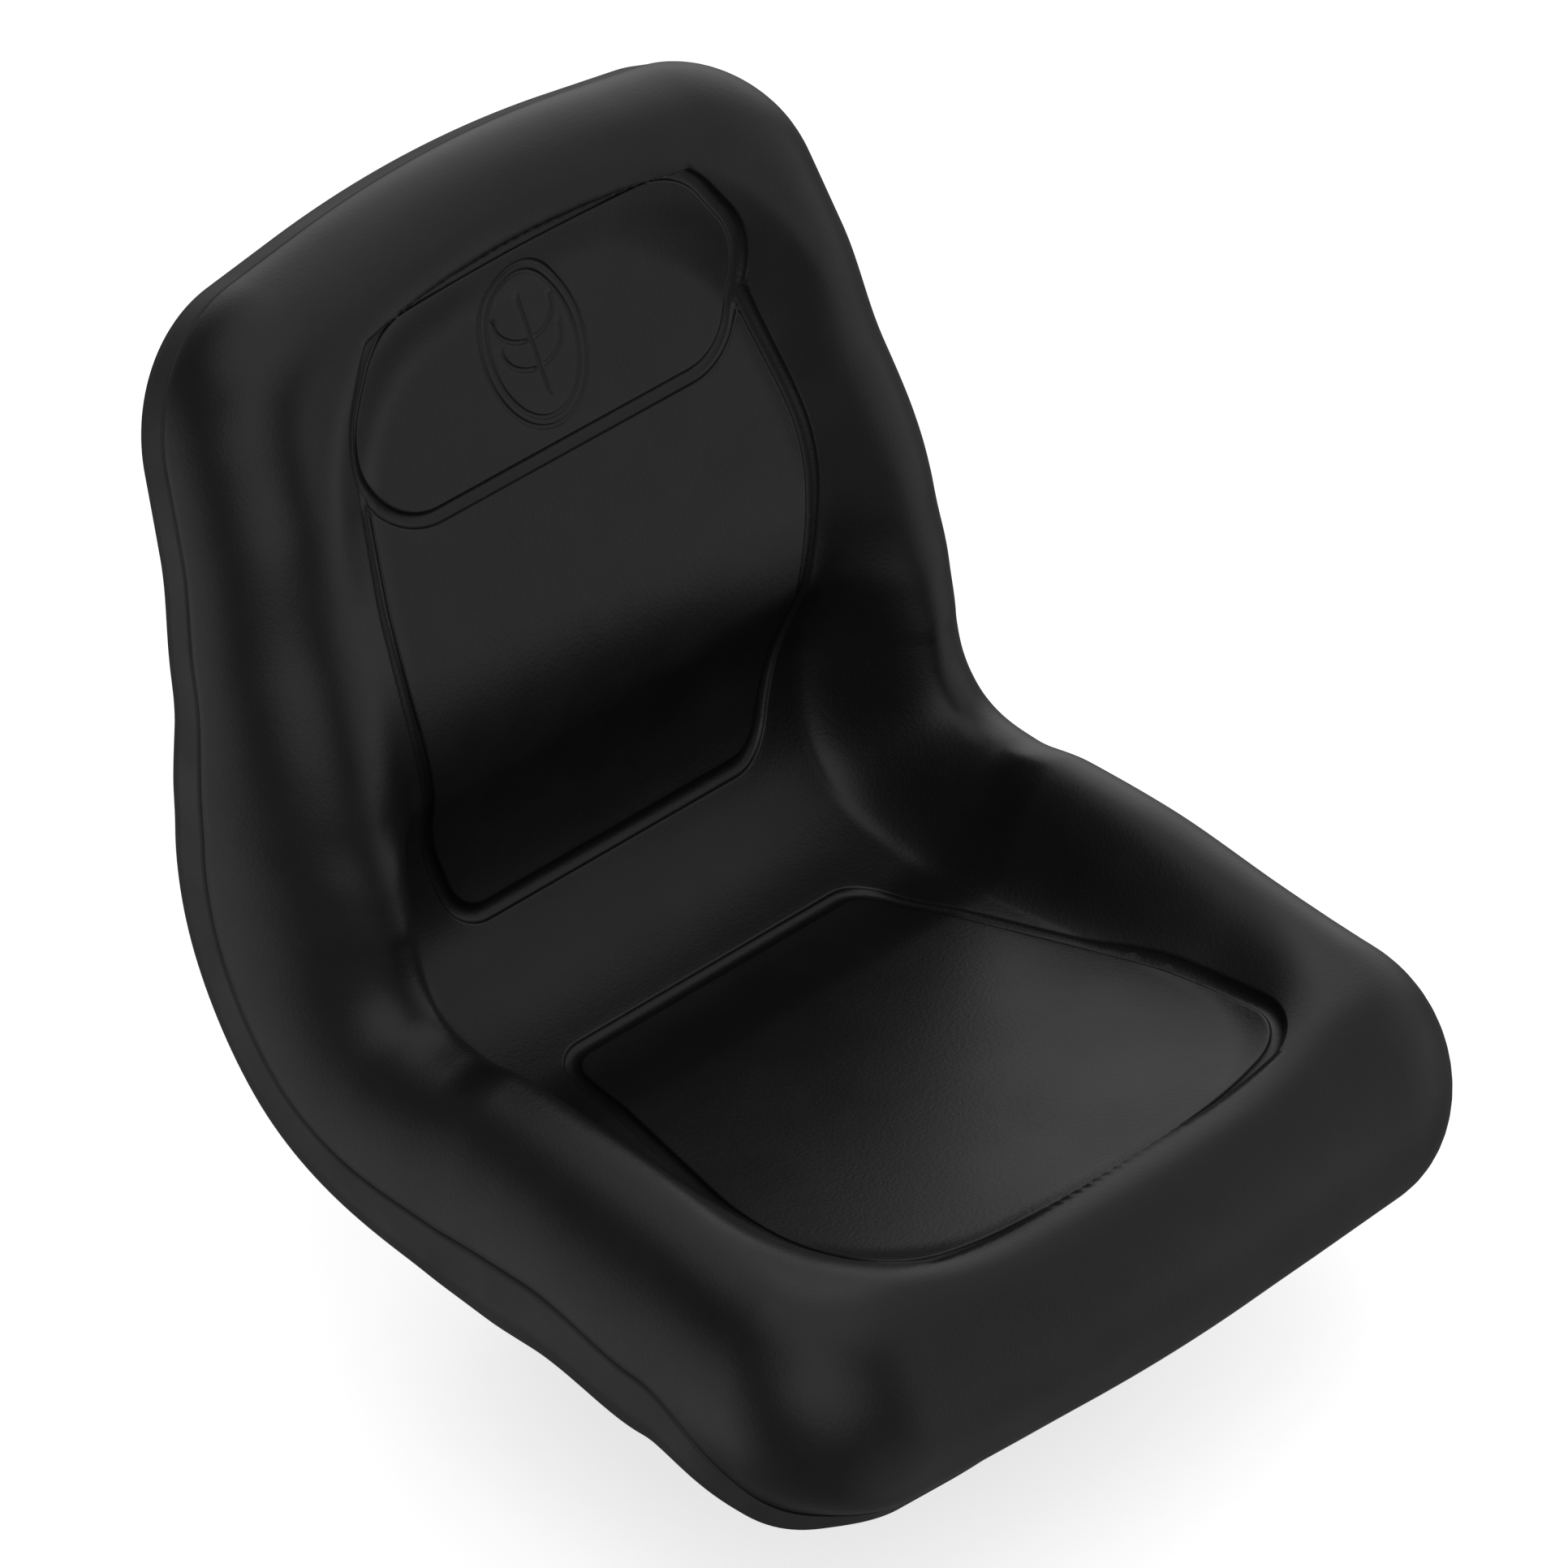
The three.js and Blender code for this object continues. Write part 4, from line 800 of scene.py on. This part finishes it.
def grip_vinyl():
    """Dipped vinyl grip: soft gloss over a fine stipple."""
    f = Finish("grip_vinyl", 0.36)
    stipple = f.cells(800, "SMOOTH_F1")
    colour = f.ramp(f.noise(60, 5), [(0.3, (0.012, 0.012, 0.012)), (0.7, (0.02, 0.02, 0.02))])
    roughness = f.range(f.noise(90, 4), 0.3, 0.7, 0.32, 0.46)
    return f.finish(colour, roughness, f.bump(stipple, 0.00015, 0.5))


def switch_plastic():
    """Dark grey moulded housing."""
    f = Finish("switch_plastic", 0.45)
    colour = f.ramp(f.noise(90, 5), [(0.3, (0.024, 0.027, 0.031)), (0.7, (0.038, 0.042, 0.048))])
    roughness = f.range(f.noise(140, 4), 0.3, 0.7, 0.4, 0.55)
    return f.finish(colour, roughness, f.bump(f.noise(1200, 3), 0.0001, 0.4))


def brass():
    """Machined brass, slightly tarnished."""
    f = Finish("brass", 0.3, metallic=1.0)
    colour = f.ramp(f.noise(140, 6), [(0.3, (0.42, 0.29, 0.10)), (0.65, (0.70, 0.52, 0.22))])
    roughness = f.range(f.noise(220, 4), 0.3, 0.7, 0.25, 0.45)
    return f.finish(colour, roughness, f.bump(f.noise(700, 3), 0.0001, 0.3))


def dress_cad_nodes():
    """Gives every CAD node that still shows its finish, its rounded shading and a fine broken edge."""
    makers = [black_steel, zinc_steel, spring_steel, nylon, rubber, grip_vinyl, switch_plastic, brass]
    finishes = {maker.__name__: maker() for maker in makers}
    for part in frame["record"]["subparts"]:
        node = frame["nodes"][part["node"]]
        finish = finishes.get(part["material_slot"])
        if finish is None:
            continue
        node.data.materials.clear()
        node.data.materials.append(finish)
        weld = node.modifiers.new("weld", "WELD")
        weld.merge_threshold = 0.00001
        bevel = node.modifiers.new("edge", "BEVEL")
        bevel.width = 0.0003
        bevel.segments = 2
        bevel.limit_method = "ANGLE"
        bevel.angle_limit = math.radians(40)
        bevel.harden_normals = False
        node.data.shade_smooth()


# ---- the studio -----------------------------------------------------------------------------------------
CAMERA_BEARING = (-45.0, 35.264)  # azimuth and elevation, in degrees
CAMERA_DISTANCE = 7.48
CAMERA_LENS = 342.9
AIM_ABOVE_MIDDLE = Vector((0, 0.0081, 0.0232))
FLOOR_GLOW = 0.7


def bearing(azimuth, elevation):
    a, e = math.radians(azimuth), math.radians(elevation)
    return Vector((math.sin(a) * math.cos(e), -math.cos(a) * math.cos(e), math.sin(e)))


def link(obj):
    bpy.context.scene.collection.objects.link(obj)
    return obj


def make_camera(middle):
    camera = link(bpy.data.objects.new("camera", bpy.data.cameras.new("camera")))
    back = bearing(*CAMERA_BEARING)
    camera.location = middle + AIM_ABOVE_MIDDLE + back * CAMERA_DISTANCE
    camera.rotation_euler = (-back).to_track_quat("-Z", "Y").to_euler()
    camera.data.lens = CAMERA_LENS
    camera.data.sensor_width = 36
    camera.data.clip_end = 100
    bpy.context.scene.camera = camera


def make_floor():
    """A plain pale floor. Its underside is clear, so that the seat can be looked at from below."""
    mesh = bpy.data.meshes.new("floor")
    half = 40
    corners = [(-half, -half, 0), (half, -half, 0), (half, half, 0), (-half, half, 0)]
    mesh.from_pydata(corners, [], [(0, 1, 2, 3)])
    floor = link(bpy.data.objects.new("floor", mesh))
    floor.visible_glossy = False
    f = Finish("pale_floor", 0.9, specular=0.1)
    colour = f.ramp(f.noise(2, 3), [(0.3, (0.90, 0.90, 0.90)), (0.7, (0.93, 0.93, 0.93))])
    f.links.new(colour, f.shader.inputs["Base Color"])
    f.shader.inputs["Emission Color"].default_value = (1, 1, 1, 1)
    f.shader.inputs["Emission Strength"].default_value = FLOOR_GLOW
    clear = f.nodes.new("ShaderNodeBsdfTransparent")
    choose = f.nodes.new("ShaderNodeMixShader")
    f.links.new(f.nodes.new("ShaderNodeNewGeometry").outputs["Backfacing"], choose.inputs["Fac"])
    f.links.new(f.shader.outputs["BSDF"], choose.inputs[1])
    f.links.new(clear.outputs["BSDF"], choose.inputs[2])
    f.links.new(choose.outputs["Shader"], f.nodes["Material Output"].inputs["Surface"])
    mesh.materials.append(f.material)


# Soft boxes in the world: azimuth, elevation, half angle of the full part, half angle of the edge, brightness
SOFT_BOXES = [
    (132, 22, 8, 45, 0.75),
    (55, 12, 20, 50, 0.38),
    (228, -20, 12, 38, 0.42),
    (314, 26, 8, 42, 0.65),
    (0, 90, 15, 50, 0.6),
    (20, -42, 10, 45, 0.2),
]
AMBIENT = 0.12


def make_world():
    """Dim light from all round, with six large soft boxes."""
    world = bpy.data.worlds.new("studio")
    bpy.context.scene.world = world
    world.use_nodes = True
    nodes, links = world.node_tree.nodes, world.node_tree.links
    direction = nodes.new("ShaderNodeTexCoord").outputs["Generated"]
    total = None
    for azimuth, elevation, full, edge, brightness in SOFT_BOXES:
        facing = nodes.new("ShaderNodeVectorMath")
        facing.operation = "DOT_PRODUCT"
        facing.inputs[1].default_value = bearing(azimuth, elevation)
        links.new(direction, facing.inputs[0])
        box = nodes.new("ShaderNodeMapRange")
        box.interpolation_type = "SMOOTHSTEP"
        box.inputs["From Min"].default_value = math.cos(math.radians(edge))
        box.inputs["From Max"].default_value = math.cos(math.radians(full))
        box.inputs["To Max"].default_value = brightness
        links.new(facing.outputs["Value"], box.inputs["Value"])
        add = nodes.new("ShaderNodeMath")
        add.inputs[1].default_value = AMBIENT
        links.new(box.outputs["Result"], add.inputs[0])
        if total is not None:
            links.new(total, add.inputs[1])
        total = add.outputs["Value"]
    links.new(total, nodes["Background"].inputs["Strength"])
    nodes["Background"].inputs["Color"].default_value = (1, 1, 1, 1)


def make_studio():
    middle = (cad_box[0] + cad_box[1]) / 2
    make_camera(middle)
    make_floor()
    make_world()
    scene = bpy.context.scene
    scene.view_settings.view_transform = "Standard"


def main():
    make_studio()
    make_skin()
    make_pan()
    make_foam()
    dress_cad_nodes()


main()
